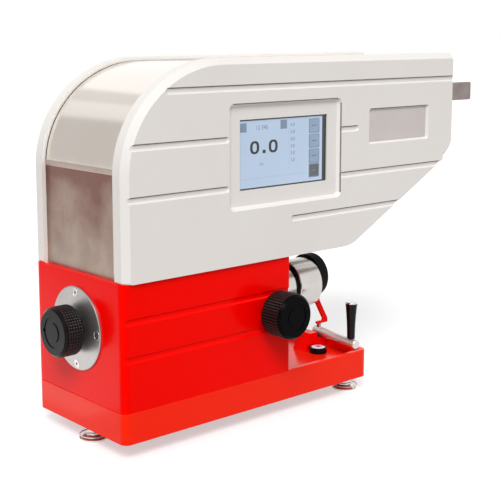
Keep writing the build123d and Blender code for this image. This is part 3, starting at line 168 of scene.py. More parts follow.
def grain_group() -> bpy.types.NodeTree:
    """Brushed or turned grain: noise stretched along one direction.

    Returns:
        Group with Stretch and Scale in, Height and Mask out.
    """
    group = EffectGroup(
        "brushed_grain",
        [("Stretch", "NodeSocketVector", (1.0, 1.0, 1.0)), ("Scale", "NodeSocketFloat", 60.0)],
        [("Height", "NodeSocketFloat"), ("Mask", "NodeSocketFloat")],
    )
    factors = {0: group.place, 1: group.take["Stretch"]}
    stretched = group.node("ShaderNodeVectorMath", factors, operation="MULTIPLY").outputs[0]
    hair = group.noise(stretched, 4.0, group.take["Scale"])
    band = group.noise(stretched, 1.0, group.math("MULTIPLY", group.take["Scale"], BAND_SHARE))
    return group.give({"Height": hair, "Mask": band})


def film_and_reflection_group() -> bpy.types.NodeTree:
    """Handling film: large soft patches that change the colour a little, and a painted reflection that moves
    the colour towards Film with height.

    Returns:
        Group with Clean, Film, Amount, Scale and the heights between which the painted
        reflection grows by Rise in, Colour out.
    """
    group = EffectGroup(
        "handling_film_and_painted_reflection",
        [
            ("Clean", "NodeSocketColor", WHITE),
            ("Film", "NodeSocketColor", WHITE),
            ("Amount", "NodeSocketFloat", 0.3),
            ("Scale", "NodeSocketFloat", 12.0),
            ("Low", "NodeSocketFloat", 0.0),
            ("High", "NodeSocketFloat", 1.0),
            ("Rise", "NodeSocketFloat", 0.0),
        ],
        [("Colour", "NodeSocketColor")],
    )
    take = group.take
    height = group.node("ShaderNodeSeparateXYZ", {0: group.place}).outputs["Z"]
    # Painted reflection: a ramp with height from Low to High, times Rise, added to the film mask.
    span = {"Value": height, "From Min": take["Low"], "From Max": take["High"]}
    reflection_climb = group.math("MULTIPLY", group.node("ShaderNodeMapRange", span).outputs[0], take["Rise"])
    patch = group.noise(group.place, 5.0, take["Scale"])
    low, high = PATCH_EDGES
    soft = group.node("ShaderNodeMapRange", {"Value": patch, "From Min": low, "From Max": high})
    mask = group.math("ADD", group.math("MULTIPLY", soft.outputs[0], take["Amount"]), reflection_climb)
    colours = {"Factor": mask, MIX_FIRST: take["Clean"], MIX_SECOND: take["Film"]}
    return group.give({"Colour": group.node("ShaderNodeMix", colours, data_type="RGBA").outputs[MIX_RESULT]})


class Effects:
    """The shared groups, each built at its first use."""

    _makers: dict[str, Callable[[], bpy.types.NodeTree]] = {
        "speckle": speckle_group, "grain": grain_group, "film": film_and_reflection_group,
    }
    _made: dict[str, bpy.types.NodeTree] = {}

    @classmethod
    def get(cls, name: str) -> bpy.types.NodeTree:
        """The named group."""
        if name not in cls._made:
            cls._made[name] = cls._makers[name]()
        return cls._made[name]


@dataclass(frozen=True)
class Finish:
    """A surface finish, from which one material is made."""

    name: str
    colour: Colour
    film: Colour
    film_amount: float = 0.3
    film_scale: float = 12.0
    roughness: float = 0.4
    roughness_spread: float = 0.1
    metallic: float = 0.0
    coat: float = 0.0
    grain: Point | None = None
    grain_scale: float = 60.0
    speckle_scale: float = 900.0
    bump: float = 0.05
    bump_distance: float = 0.0001
    anisotropic: float = 0.0
    emission: float = 0.0
    specular: float = 0.5
    specular_tint: Colour = (1.0, 1.0, 1.0)
    reflection_climb: Point = (0.0, 1.0, 0.0)

    def material(self) -> bpy.types.Material:
        """The finish's material, made once.

        Returns:
            Material whose colour, roughness and bump vary over the surface.
        """
        known = bpy.data.materials.get(self.name)
        if known:
            return known
        made = bpy.data.materials.new(self.name)
        made.use_nodes = True
        tree = made.node_tree
        # reflection_climb gives the low and high heights and the rise of a painted reflection; the base
        # colour holds the film patches and this painted reflection.
        low, high, rise = self.reflection_climb
        film = add_node(tree, "ShaderNodeGroup", {
            "Clean": (*self.colour, 1.0), "Film": (*self.film, 1.0), "Amount": self.film_amount,
            "Scale": self.film_scale, "Low": low, "High": high, "Rise": rise,
        }, node_tree=Effects.get("film")).outputs["Colour"]
        kind, scales = "speckle", {"Scale": self.speckle_scale}
        if self.grain:
            kind, scales = "grain", {"Stretch": self.grain, "Scale": self.grain_scale}
        texture = add_node(tree, "ShaderNodeGroup", scales, node_tree=Effects.get(kind)).outputs
        gloss = add_node(tree, "ShaderNodeMapRange", {
            "Value": texture["Mask"],
            "To Min": max(LEAST_ROUGHNESS, self.roughness - self.roughness_spread),
            "To Max": self.roughness + self.roughness_spread,
        })
        relief = {"Height": texture["Height"], "Strength": self.bump, "Distance": self.bump_distance}
        shader = tree.nodes["Principled BSDF"]
        feed(tree, shader, {
            "Base Color": film, "Roughness": gloss.outputs[0],
            "Normal": add_node(tree, "ShaderNodeBump", relief).outputs["Normal"],
            "Metallic": self.metallic, "Specular IOR Level": self.specular,
            "Specular Tint": (*self.specular_tint, 1.0), "Coat Weight": self.coat,
            "Coat Roughness": COAT_ROUGHNESS, "Anisotropic": self.anisotropic,
        })
        if self.emission:
            feed(tree, shader, {"Emission Color": film, "Emission Strength": self.emission})
        return made


def lit(
    name: str, colour: Colour, film: Colour, glow: float, amount: float = 0.8, scale: float = 90.0,
) -> Finish:
    """A finish for the screen's picture, which glows a little by itself."""
    return Finish(
        name, colour, film, amount, scale, 0.3, 0.05, bump=0.01, bump_distance=0.0002, emission=glow,
    )


class Finishes:
    """Every finish of the machine."""

    red = Finish(
        "red_gloss_paint", srgb(255, 2, 0), srgb(246, 2, 0), 0.35, 7.0, 0.2, 0.05,
        speckle_scale=420.0, bump=0.05, bump_distance=0.0004, specular=0.12, specular_tint=(1.0, 0.25, 0.1),
    )
    # Painted light: a paler, pinker copy of the gloss red with more sheen, for the base tray, whose paint
    # looks lighter low down.
    red_base_lit = Finish(
        "red_gloss_paint_base_lit", srgb(255, 36, 8), srgb(252, 26, 6), 0.35, 7.0, 0.2, 0.05,
        speckle_scale=420.0, bump=0.05, bump_distance=0.0004, specular=0.25, specular_tint=(1.0, 0.35, 0.2),
    )
    pale = Finish(
        "pale_stone_paint", srgb(234, 230, 226), srgb(228, 223, 219), 0.5, 9.0, 0.5, 0.06,
        speckle_scale=1300.0, bump=0.12, bump_distance=0.0003, specular=0.2,
    )
    groove_shade = Finish(
        "groove_shade", srgb(126, 112, 110), srgb(142, 130, 126), 0.6, 40.0, 0.6, 0.06,
        speckle_scale=1300.0, bump=0.1, bump_distance=0.0002, specular=0.2,
    )
    # Painted reflection: the colour moves towards the darker, redder film colour with height, from 0.17 m up
    # to 0.27 m; the film patches are the sheet's own tone.
    sheet_upright = Finish(
        "brushed_sheet_upright", srgb(184, 168, 154), srgb(126, 92, 84), 0.65, 22.0, 0.3, 0.08, metallic=1.0,
        grain=(1.0, 5.0, 0.12), grain_scale=160.0, bump=0.2, bump_distance=0.0002,
        reflection_climb=(0.17, 0.27, 0.85),
    )
    sheet_over = Finish(
        "brushed_sheet_over", srgb(240, 234, 227), srgb(230, 221, 211), 0.5, 9.0, 0.13, 0.04, metallic=1.0,
        grain=(0.12, 5.0, 0.12), grain_scale=160.0, bump=0.12, bump_distance=0.0002, anisotropic=0.2,
    )
    sheet_lip = Finish(
        "folded_sheet_lip", srgb(186, 168, 158), srgb(166, 146, 138), 0.5, 40.0, 0.45, 0.08, metallic=0.6,
        grain=(1.0, 0.2, 1.0), grain_scale=300.0, bump=0.1,
    )
    plate_satin = Finish(
        "bare_plate_satin", srgb(204, 196, 193), srgb(190, 182, 178), 0.5, 30.0, 0.42, 0.06, metallic=0.3,
        grain=(0.1, 1.0, 1.0), grain_scale=260.0, bump=0.1, specular=0.25,
    )
    pad_rim = Finish(
        "pad_rim_steel", srgb(222, 218, 212), srgb(204, 199, 192), 0.4, 60.0, 0.4, 0.08, metallic=0.3,
        speckle_scale=700.0, bump=0.1,
    )
    satin_pad = Finish(
        "satin_pad_steel", srgb(236, 233, 228), srgb(216, 212, 206), 0.4, 60.0, 0.2, 0.06, metallic=0.9,
        speckle_scale=700.0, bump=0.1,
    )
    arm_bar = Finish(
        "ground_arm_bar", srgb(142, 130, 126), srgb(112, 102, 98), 0.7, 60.0, 0.34, 0.1, metallic=1.0,
        grain=(0.3, 1.0, 1.0), grain_scale=500.0, bump=0.25,
    )
    crank_satin = Finish(
        "crank_satin_steel", srgb(222, 214, 208), srgb(198, 190, 184), 0.4, 60.0, 0.3, 0.08, metallic=0.7,
        grain=(1.0, 0.15, 1.0), grain_scale=260.0, bump=0.12,
    )
    turned = Finish(
        "turned_steel", srgb(204, 200, 196), srgb(184, 178, 172), 0.4, 30.0, 0.22, 0.08, metallic=1.0,
        grain=(0.15, 1.0, 1.0), grain_scale=120.0, bump=0.12,
    )
    ground = Finish(
        "ground_steel", srgb(172, 164, 162), srgb(146, 138, 136), 0.4, 20.0, 0.3, 0.08, metallic=1.0,
        grain=(0.1, 1.0, 1.0), grain_scale=220.0, bump=0.15,
    )
    flange_satin = Finish(
        "flange_satin_steel", srgb(176, 172, 170), srgb(158, 152, 149), 0.5, 30.0, 0.4, 0.06, metallic=1.0,
        grain=(1.0, 0.25, 1.0), grain_scale=240.0, bump=0.1,
    )
    disc_steel = Finish(
        "faced_steel", srgb(200, 196, 190), srgb(182, 176, 168), 0.4, 25.0, 0.3, 0.06, metallic=1.0,
        speckle_scale=1500.0, bump=0.1,
    )
    bright = Finish(
        "polished_plating", srgb(214, 212, 210), srgb(196, 192, 190), 0.3, 40.0, 0.1, 0.04, metallic=1.0,
        speckle_scale=600.0, bump=0.03,
    )
    dark_steel = Finish(
        "blackened_steel", srgb(44, 42, 42), srgb(66, 62, 60), 0.4, 60.0, 0.34, 0.08, metallic=0.6,
        bump=0.08,
    )
    black = Finish(
        "black_moulding", srgb(12, 10, 11), srgb(20, 18, 19), 0.5, 40.0, 0.28, 0.08,
        speckle_scale=1600.0, bump=0.12, bump_distance=0.0002, specular=0.12,
    )
    deep_black = Finish(
        "deep_black_moulding", srgb(8, 6, 7), srgb(13, 11, 12), 0.5, 40.0, 0.24, 0.06,
        speckle_scale=1600.0, bump=0.12, bump_distance=0.0002, specular=0.03,
    )
    knurled = Finish(
        "black_knurled_rim", srgb(8, 6, 7), srgb(15, 13, 14), 0.5, 90.0, 0.2, 0.05,
        speckle_scale=1600.0, bump=0.05, bump_distance=0.0002, specular=0.25,
    )
    grip = Finish(
        "black_gloss_grip", srgb(8, 7, 7), srgb(14, 12, 12), 0.4, 60.0, 0.18, 0.04, coat=0.05,
        bump=0.03, specular=0.15,
    )
    rubber = Finish(
        "specimen_rubber", srgb(12, 9, 10), srgb(26, 22, 23), 0.6, 80.0, 0.66, 0.08,
        speckle_scale=1200.0, bump=0.4, bump_distance=0.0003, specular=0.12,
    )
    aluminium = Finish(
        "milled_aluminium", srgb(200, 202, 204), srgb(184, 186, 190), 0.4, 18.0, 0.36, 0.08, metallic=1.0,
        grain=(0.2, 1.0, 1.0), grain_scale=200.0, bump=0.15,
    )
    bronze = Finish(
        "guide_bronze", srgb(176, 136, 80), srgb(150, 112, 64), 0.5, 25.0, 0.32, 0.08, metallic=1.0,
        grain=(0.15, 1.0, 1.0), grain_scale=200.0, bump=0.15,
    )
    zinc = Finish(
        "zinc_plated_sheet", srgb(176, 178, 180), srgb(150, 154, 158), 0.6, 40.0, 0.38, 0.1, metallic=1.0,
        speckle_scale=300.0, bump=0.06, bump_distance=0.0002,
    )
    board = Finish(
        "board_lacquer", srgb(22, 92, 56), srgb(16, 70, 44), 0.6, 60.0, 0.3, 0.08, coat=0.3,
        speckle_scale=700.0, bump=0.1, bump_distance=0.0002,
    )
    screen_black = Finish(
        "screen_surround", srgb(16, 17, 21), srgb(24, 25, 30), 0.4, 30.0, 0.12, 0.04, coat=0.4,
        bump=0.01,
    )
    screen_field = Finish(
        "screen_field", srgb(158, 175, 196), srgb(166, 183, 204), 0.8, 14.0, 0.3, 0.05,
        speckle_scale=2200.0, bump=0.02, emission=0.42,
    )
    screen_rule = lit("screen_rule", srgb(148, 166, 188), srgb(154, 172, 194), 0.3, 0.6, 60.0)
    screen_button = lit("screen_button", srgb(104, 120, 142), srgb(114, 130, 152), 0.4)
    screen_key_dark = lit("screen_key_dark", srgb(78, 82, 84), srgb(88, 93, 96), 0.3)
    screen_key_light = lit("screen_key_light", srgb(122, 140, 164), srgb(130, 148, 172), 0.4)
    screen_digit = lit("screen_digit", srgb(36, 34, 38), srgb(44, 42, 46), 0.1, 0.6)
    screen_ink = lit("screen_ink", srgb(92, 108, 132), srgb(104, 120, 144), 0.3, 0.6)
    # Painted light: the level's vial glass glows a little by itself, though it is no lamp, so it looks pale
    # and bright.
    vial = Finish(
        "level_vial_glass_glowing", srgb(206, 218, 232), srgb(188, 202, 218), 0.5, 90.0, 0.1, 0.03, coat=0.2,
        speckle_scale=300.0, bump=0.02, emission=0.3,
    )


class Seam(Enum):
    """Which ends of a grid join: the last row to the first, the last column to the first."""

    NONE = (False, False)
    ROWS = (True, False)
    COLUMNS = (False, True)
    BOTH = (True, True)


def grid_object(
    name: str, points: np.ndarray, finish: Finish, seam: Seam, smooth: bool = True,
) -> bpy.types.Object:
    """Makes a quad mesh from a grid of points.

    Args:
        name: Name of the piece.
        points: Array of shape (rows, columns, 3), in metres.
        finish: Finish of the piece.
        seam: Which ends of the grid join.
        smooth: Whether the faces are shaded smooth.

    Returns:
        The new object, linked to the scene.
    """
    rows, columns = points.shape[:2]
    join_rows, join_columns = seam.value
    u = np.arange(rows if join_rows else rows - 1)
    v = np.arange(columns if join_columns else columns - 1)
    a, b = np.meshgrid(u, v, indexing="ij")
    next_a, next_b = (a + 1) % rows, (b + 1) % columns
    corners = [i * columns + j for i, j in ((a, b), (next_a, b), (next_a, next_b), (a, next_b))]
    quads = np.stack(corners, axis=-1).reshape(-1, 4)
    return mesh_object(name, points.reshape(-1, 3), quads, finish, smooth)


def mesh_object(
    name: str, points: np.ndarray, faces: np.ndarray, finish: Finish, smooth: bool = True,
) -> bpy.types.Object:
    """Makes an object from points and faces, whose winding is kept.

    Args:
        name: Name of the piece.
        points: Array of shape (count, 3), in metres.
        faces: Array of shape (count, corners) of point numbers.
        finish: Finish of the piece.
        smooth: Whether the faces are shaded smooth.

    Returns:
        The new object, linked to the scene.
    """
    mesh = bpy.data.meshes.new(name)
    mesh.from_pydata(points.tolist(), [], faces.tolist())
    mesh.update()
    mesh.polygons.foreach_set("use_smooth", np.full(len(mesh.polygons), smooth))
    mesh.materials.append(finish.material())
    made = bpy.data.objects.new(name, mesh)
    bpy.context.scene.collection.objects.link(made)
    return made


def grid_points(x: np.ndarray | float, y: np.ndarray | float, z: np.ndarray | float) -> np.ndarray:
    """Points in metres from three arrays in millimetres that broadcast to one shape."""
    return np.stack(np.broadcast_arrays(x, y, z), -1) * MM


def turned_frame(axis: Direction, centre: Point) -> np.ndarray:
    """Matrix (4 x 4) that lays local Z along an axis through a centre, in millimetres."""
    turn = {
        Direction.X: Matrix.Rotation(np.pi / 2, 4, "Y"),
        Direction.Y: Matrix.Rotation(-np.pi / 2, 4, "X"),
        Direction.Z: Matrix.Identity(4),
    }[axis]
    return np.array(Matrix.Translation(centre) @ turn)


def turned_points(radius: np.ndarray, angle: np.ndarray, along: np.ndarray, place: np.ndarray) -> np.ndarray:
    """Points (r cos t, r sin t, z) laid by a matrix, from millimetres to metres."""
    local = np.stack([radius * np.cos(angle), radius * np.sin(angle), along, np.ones_like(along)], -1)
    return (local @ place.T)[..., :3] * MM


def revolve(profile: np.ndarray, steps: int, place: np.ndarray) -> np.ndarray:
    """Surface of a profile turned about local Z.

    Args:
        profile: Array of shape (count, 2) with radius and height in millimetres.
        steps: Number of rows round the axis.
        place: Matrix that places the result.

    Returns:
        Grid of points of shape (steps, count, 3) in metres.
    """
    angle = np.linspace(0.0, 2 * np.pi, steps, endpoint=False)[:, None]
    radius, height = profile[None, :, 0], profile[None, :, 1]
    return turned_points(radius, angle, height + 0 * angle, place)


def oval(radius: float, height: float, across: float, along: float, steps: int) -> np.ndarray:
    """Closed profile of a ring: (radius + across cos t, height + along sin t)."""
    t = np.linspace(0, 2 * np.pi, steps, endpoint=False)
    return np.stack([radius + across * np.cos(t), height + along * np.sin(t)], -1)


@dataclass(frozen=True)
class Knurl:
    """A band of small bosses in rows round a knob's rim."""

    name: str
    centre: Point
    axis: Direction
    radius: float
    start: float
    end: float
    ribs: int
    rows: int
    depth: float = 1.0
    root: float = 0.6
    rib_points: int = 6
    row_points: int = 8
    fade: float = 14.0

    def build(self, body: str) -> bpy.types.Object:
        """Radius is the rim plus depth times (1 + cos round)(1 - cos along) / 4, fading at the ends.

        Args:
            body: Name of the body that the band turns with.

        Returns:
            The closed band.
        """
        steps, rows = self.ribs * self.rib_points, self.rows * self.row_points + 1
        angle = np.linspace(0.0, 2 * np.pi, steps, endpoint=False)[:, None]
        run = np.linspace(0.0, 1.0, rows)[None, :]
        bosses = (0.5 + 0.5 * np.cos(self.ribs * angle)) * (0.5 - 0.5 * np.cos(2 * np.pi * self.rows * run))
        fade = np.clip(np.minimum(run, 1 - run) * self.fade, 0, 1)
        inner = np.full((steps, 1), self.radius - self.root)
        radius = np.concatenate([inner, self.radius + self.depth * bosses * fade, inner], axis=1)
        share = np.concatenate([[[0.0]], run, [[1.0]]], axis=1)
        along = self.start + (self.end - self.start) * share + 0 * angle
        points = turned_points(radius, angle, along, turned_frame(self.axis, self.centre))
        made = grid_object(self.name, points, Finishes.knurled, Seam.BOTH)
        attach(made, body)
        return made


def plate(name: str, low: Span, high: Span, depth: float, finish: Finish, radius: float) -> bpy.types.Object:
    """Thin upright plate that faces -Y, a rectangle with round corners.

    Args:
        name: Name of the piece.
        low: Lower left corner (x, z) in millimetres.
        high: Upper right corner (x, z) in millimetres.
        depth: Y of its face in millimetres.
        finish: Finish of the piece.
        radius: Corner radius in millimetres.

    Returns:
        The plate.
    """
    inner = np.array([low, high]) + np.array([[radius], [-radius]])
    quarter = np.linspace(0, np.pi / 2, CORNER_POINTS)
    arcs = []
    for i, (side, end) in enumerate(((1, 1), (0, 1), (0, 0), (1, 0))):
        turn = quarter + i * np.pi / 2
        centre = inner[side, 0], inner[end, 1]
        arcs.append(grid_points(centre[0] + radius * np.cos(turn), depth, centre[1] + radius * np.sin(turn)))
    outline = np.concatenate(arcs)
    return mesh_object(name, outline, np.arange(len(outline))[None, :], finish, False)


@dataclass(frozen=True)
class Studio:
    """Bench surface, soft light and camera; lengths in metres, the camera's place in millimetres."""

    lens: float = 77.95
    sensor: float = 36.0
    clip_end: float = 60.0
    shift: Span = (0.1, -0.1)
    place: Point = (-547.8, -826.7, 376.5)
    azimuth: float = 39.48
    pitch: float = -8.54
    roll: float = -0.38
    floor_reach: float = 12.0
    floor_glow: float = 0.5
    floor_bounce: Colour = (0.42, 0.41, 0.40)
    card: Span = (-0.05, -0.62)
    card_depth: Span = (0.05, 1.0)
    card_height: float = 0.002
    card_fade: float = 0.3
    card_strength: float = 1.9
    sun: tuple[float, float, float, float] = (2.35, 26.0, -42.0, 46.0)
    lamp: tuple[Point, Point, float, float] = ((-2.4, 0.7, 0.9), (0.0, 0.0, 0.15), 1.2, 2.0)
    gloss_lean: Point = (0.5, 0.0, 0.3)
    gloss_warmth: Span = (0.1, 0.18)
    gloss_bands: tuple[Span, ...] = (
        (0.0, 0.64), (0.47, 0.64), (0.505, 0.92), (0.60, 0.98),
        (0.625, 0.82), (0.69, 0.85), (0.715, 1.15), (1.0, 1.15),
    )
    diffuse_level: float = 0.5

    def build(self) -> None:
        """Makes the floor, the world, the lights, the card and the camera."""
        bpy.context.scene.view_settings.view_transform = "Standard"
        self._floor()
        self._world()
        self._sun()
        self._card()
        self._lamp()
        self._camera()

    def _link(self, name: str, data: bpy.types.ID) -> bpy.types.Object:
        """An object for a light or a camera, linked to the scene."""
        made = bpy.data.objects.new(name, data)
        bpy.context.scene.collection.objects.link(made)
        return made

    def _sheet(self, name: str, first: Span, last: Span, height: float, finish: Finish) -> bpy.types.Object:
        """A level rectangle between two opposite corners."""
        (x0, y0), (x1, y1) = first, last
        corners = [(x, y, height) for x, y in ((x0, y0), (x1, y0), (x1, y1), (x0, y1))]
        return mesh_object(name, np.array(corners), np.array([[0, 1, 2, 3]]), finish, False)

    def _floor(self) -> None:
        """A wide pale bench surface at the height of the feet, dimmer to diffuse rays."""
        reach = self.floor_reach
        finish = Finish(
            "bench_surface", (0.62, 0.62, 0.62), (0.6, 0.6, 0.6), 0.4, 3.0, 0.6, 0.05,
            bump=0.01, bump_distance=0.0002, specular=0.1,
        )
        floor = self._sheet("bench_floor", (-reach, -reach), (reach, reach), 0.0, finish)
        tree = finish.material().node_tree
        shader = tree.nodes["Principled BSDF"]
        feed(tree, shader, {"Emission Color": WHITE, "Emission Strength": self.floor_glow})
        dim = add_node(tree, "ShaderNodeBsdfDiffuse", {"Color": (*self.floor_bounce, 1.0)})
        path = add_node(tree, "ShaderNodeLightPath")
        shares = {0: path.outputs["Is Diffuse Ray"], 1: shader.outputs[0], 2: dim.outputs[0]}
        blend = add_node(tree, "ShaderNodeMixShader", shares)
        feed(tree, tree.nodes["Material Output"], {"Surface": blend.outputs[0]})

    def _world(self) -> None:
        """Even pale light; gloss sees soft bands that grow brighter to the right and up."""
        world = bpy.data.worlds.new("studio_world")
        bpy.context.scene.world = world
        world.use_nodes = True
        tree = world.node_tree
        place = add_node(tree, "ShaderNodeTexCoord").outputs["Generated"]
        lean = add_node(tree, "ShaderNodeVectorMath", {0: place, 1: self.gloss_lean}, operation="DOT_PRODUCT")
        shift = add_node(tree, "ShaderNodeMath", {0: lean.outputs["Value"], 1: 0.5}, operation="ADD")
        bands = add_node(tree, "ShaderNodeValToRGB", {0: shift.outputs[0]})
        while len(bands.color_ramp.elements) < len(self.gloss_bands):
            bands.color_ramp.elements.new(0.5)
        for stop, (where, level) in zip(bands.color_ramp.elements, self.gloss_bands):
            stop.position = where
            green, blue = (level * (1.0 - loss * (1.0 - min(level, 1.0))) for loss in self.gloss_warmth)
            stop.color = (level, green, blue, 1.0)
        path = add_node(tree, "ShaderNodeLightPath").outputs
        colours = {"Factor": path["Is Glossy Ray"], MIX_FIRST: WHITE, MIX_SECOND: bands.outputs[0]}
        glossy = add_node(tree, "ShaderNodeMix", colours, data_type="RGBA")
        levels = {"Value": path["Is Diffuse Ray"], "To Min": 1.0, "To Max": self.diffuse_level}
        strength = add_node(tree, "ShaderNodeMapRange", levels)
        feed(tree, tree.nodes["Background"], {
            "Color": glossy.outputs[MIX_RESULT], "Strength": strength.outputs[0],
        })

    def _card(self) -> None:
        """Bright card left of the machine that only gloss sees, fading away from it."""
        (near, far), (front, back) = self.card, self.card_depth
        finish = Finish("reflector_card", (0.0, 0.0, 0.0), (0.0, 0.0, 0.0), specular=0.0)
        card = self._sheet("reflector_card", (near, front), (far, back), self.card_height, finish)
        tree = finish.material().node_tree
        place = add_node(tree, "ShaderNodeTexCoord").outputs["Object"]
        apart = add_node(tree, "ShaderNodeSeparateXYZ", {0: place})
        fade = add_node(tree, "ShaderNodeMapRange", {
            "Value": apart.outputs["X"], "From Min": far, "From Max": far * self.card_fade,
            "To Max": self.card_strength,
        })
        glow = add_node(tree, "ShaderNodeEmission", {"Strength": fade.outputs[0]})
        feed(tree, tree.nodes["Material Output"], {"Surface": glow.outputs[0]})
        card.visible_camera = card.visible_diffuse = card.visible_shadow = False

    def _sun(self) -> None:
        """A soft sun: strength, angular size, azimuth it comes from and elevation."""
        strength, size, azimuth, elevation = self.sun
        data = bpy.data.lights.new("key_sun", "SUN")
        data.energy = strength
        data.angle = np.radians(size)
        side, up = np.radians([azimuth, elevation])
        towards = Vector((np.sin(side) * np.cos(up), -np.cos(side) * np.cos(up), np.sin(up)))
        self._link("key_sun", data).rotation_euler = towards.to_track_quat("Z", "Y").to_euler()

    def _lamp(self) -> None:
        """A square soft lamp: where it stands, what it points at, its size and its power."""
        place, aim, size, power = self.lamp
        data = bpy.data.lights.new("left_light", "AREA")
        data.energy = power
        data.size = size
        lamp = self._link("left_light", data)
        lamp.location = place
        lamp.rotation_euler = (Vector(aim) - Vector(place)).to_track_quat("-Z", "Y").to_euler()

    def _camera(self) -> None:
        """Camera from azimuth, pitch and roll, as columns right, up and back."""
        azimuth, pitch, roll = np.radians([self.azimuth, self.pitch, self.roll])
        forward = np.array([np.sin(azimuth) * np.cos(pitch), np.cos(azimuth) * np.cos(pitch), np.sin(pitch)])
        level = np.array([np.cos(azimuth), -np.sin(azimuth), 0.0])
        upright = np.cross(level, forward)
        right = np.cos(roll) * level + np.sin(roll) * upright
        up = np.cross(right, forward)
        matrix = np.eye(4)
        matrix[:3] = np.stack([right, up, -forward, np.array(self.place) * MM], -1)
        data = bpy.data.cameras.new("bench_camera")
        data.lens, data.sensor_width = self.lens, self.sensor
        data.shift_x, data.shift_y = self.shift
        data.clip_end = self.clip_end
        camera = self._link("bench_camera", data)
        camera.matrix_world = Matrix(matrix.tolist())
        bpy.context.scene.camera = camera


@dataclass(frozen=True)
class CadDress:
    """Finish of every solid of the frame: each finish with the names of its nodes."""

    groups: tuple[tuple[Finish, str], ...] = (
        # The base tray takes the paler copy of the gloss red: painted light.
        (Finishes.red_base_lit, "base_tray"),
        (Finishes.red, "anvil_block crank_block rest_finger"),
        (Finishes.pale, "front_panel rear_panel"),
        (Finishes.sheet_over, "upper_cover_sheet"),
        (Finishes.sheet_upright, "lower_cover_sheet"),
        (Finishes.zinc, "bulkhead panel_brackets power_supply data_port holding_magnet"),
        (Finishes.aluminium, "top_beam front_cheek rear_cheek encoder_disc"),
        (Finishes.bright, "front_bearing rear_bearing striker_tip grip_pin grip_cap"),
        (Finishes.bright, "foot_spindle_left foot_spindle_front foot_spindle_rear"),
        (Finishes.ground, "pendulum_shaft pendulum_hub clamp_screw lift_rod"),
        (Finishes.arm_bar, "pendulum_arm"),
        (Finishes.turned, "hammer_head lead_screw anvil_spindle anvil_head"),
        (Finishes.disc_steel, "hammer_cap flange_screws"),
        (Finishes.flange_satin, "flange"),
        (Finishes.satin_pad, "foot_pad_left foot_pad_front foot_pad_rear"),
        (Finishes.crank_satin, "crank_arm"),
        (Finishes.dark_steel, "anvil_set_screw crank_hub base_screws"),
        (Finishes.bronze, "spindle_sleeve spindle_nut clamp_pad"),
        (Finishes.black, "encoder_sensor display_module power_inlet adjust_knob anvil_ring level_body"),
        (Finishes.deep_black, "clamp_knob"),
        (Finishes.grip, "power_rocker grip"),
        (Finishes.rubber, "specimen"),
        (Finishes.screen_black, "screen_glass"),
        (Finishes.board, "control_board"),
        (Finishes.vial, "level_vial"),
    )

    def dress(self) -> None:
        """Gives each solid its finish."""
        table = {name: finish for finish, names in self.groups for name in names.split()}
        for name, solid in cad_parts.items():
            solid.data.materials.clear()
            solid.data.materials.append(table[name].material())
            LOG.info("dressed %s in %s", name, table[name].name)


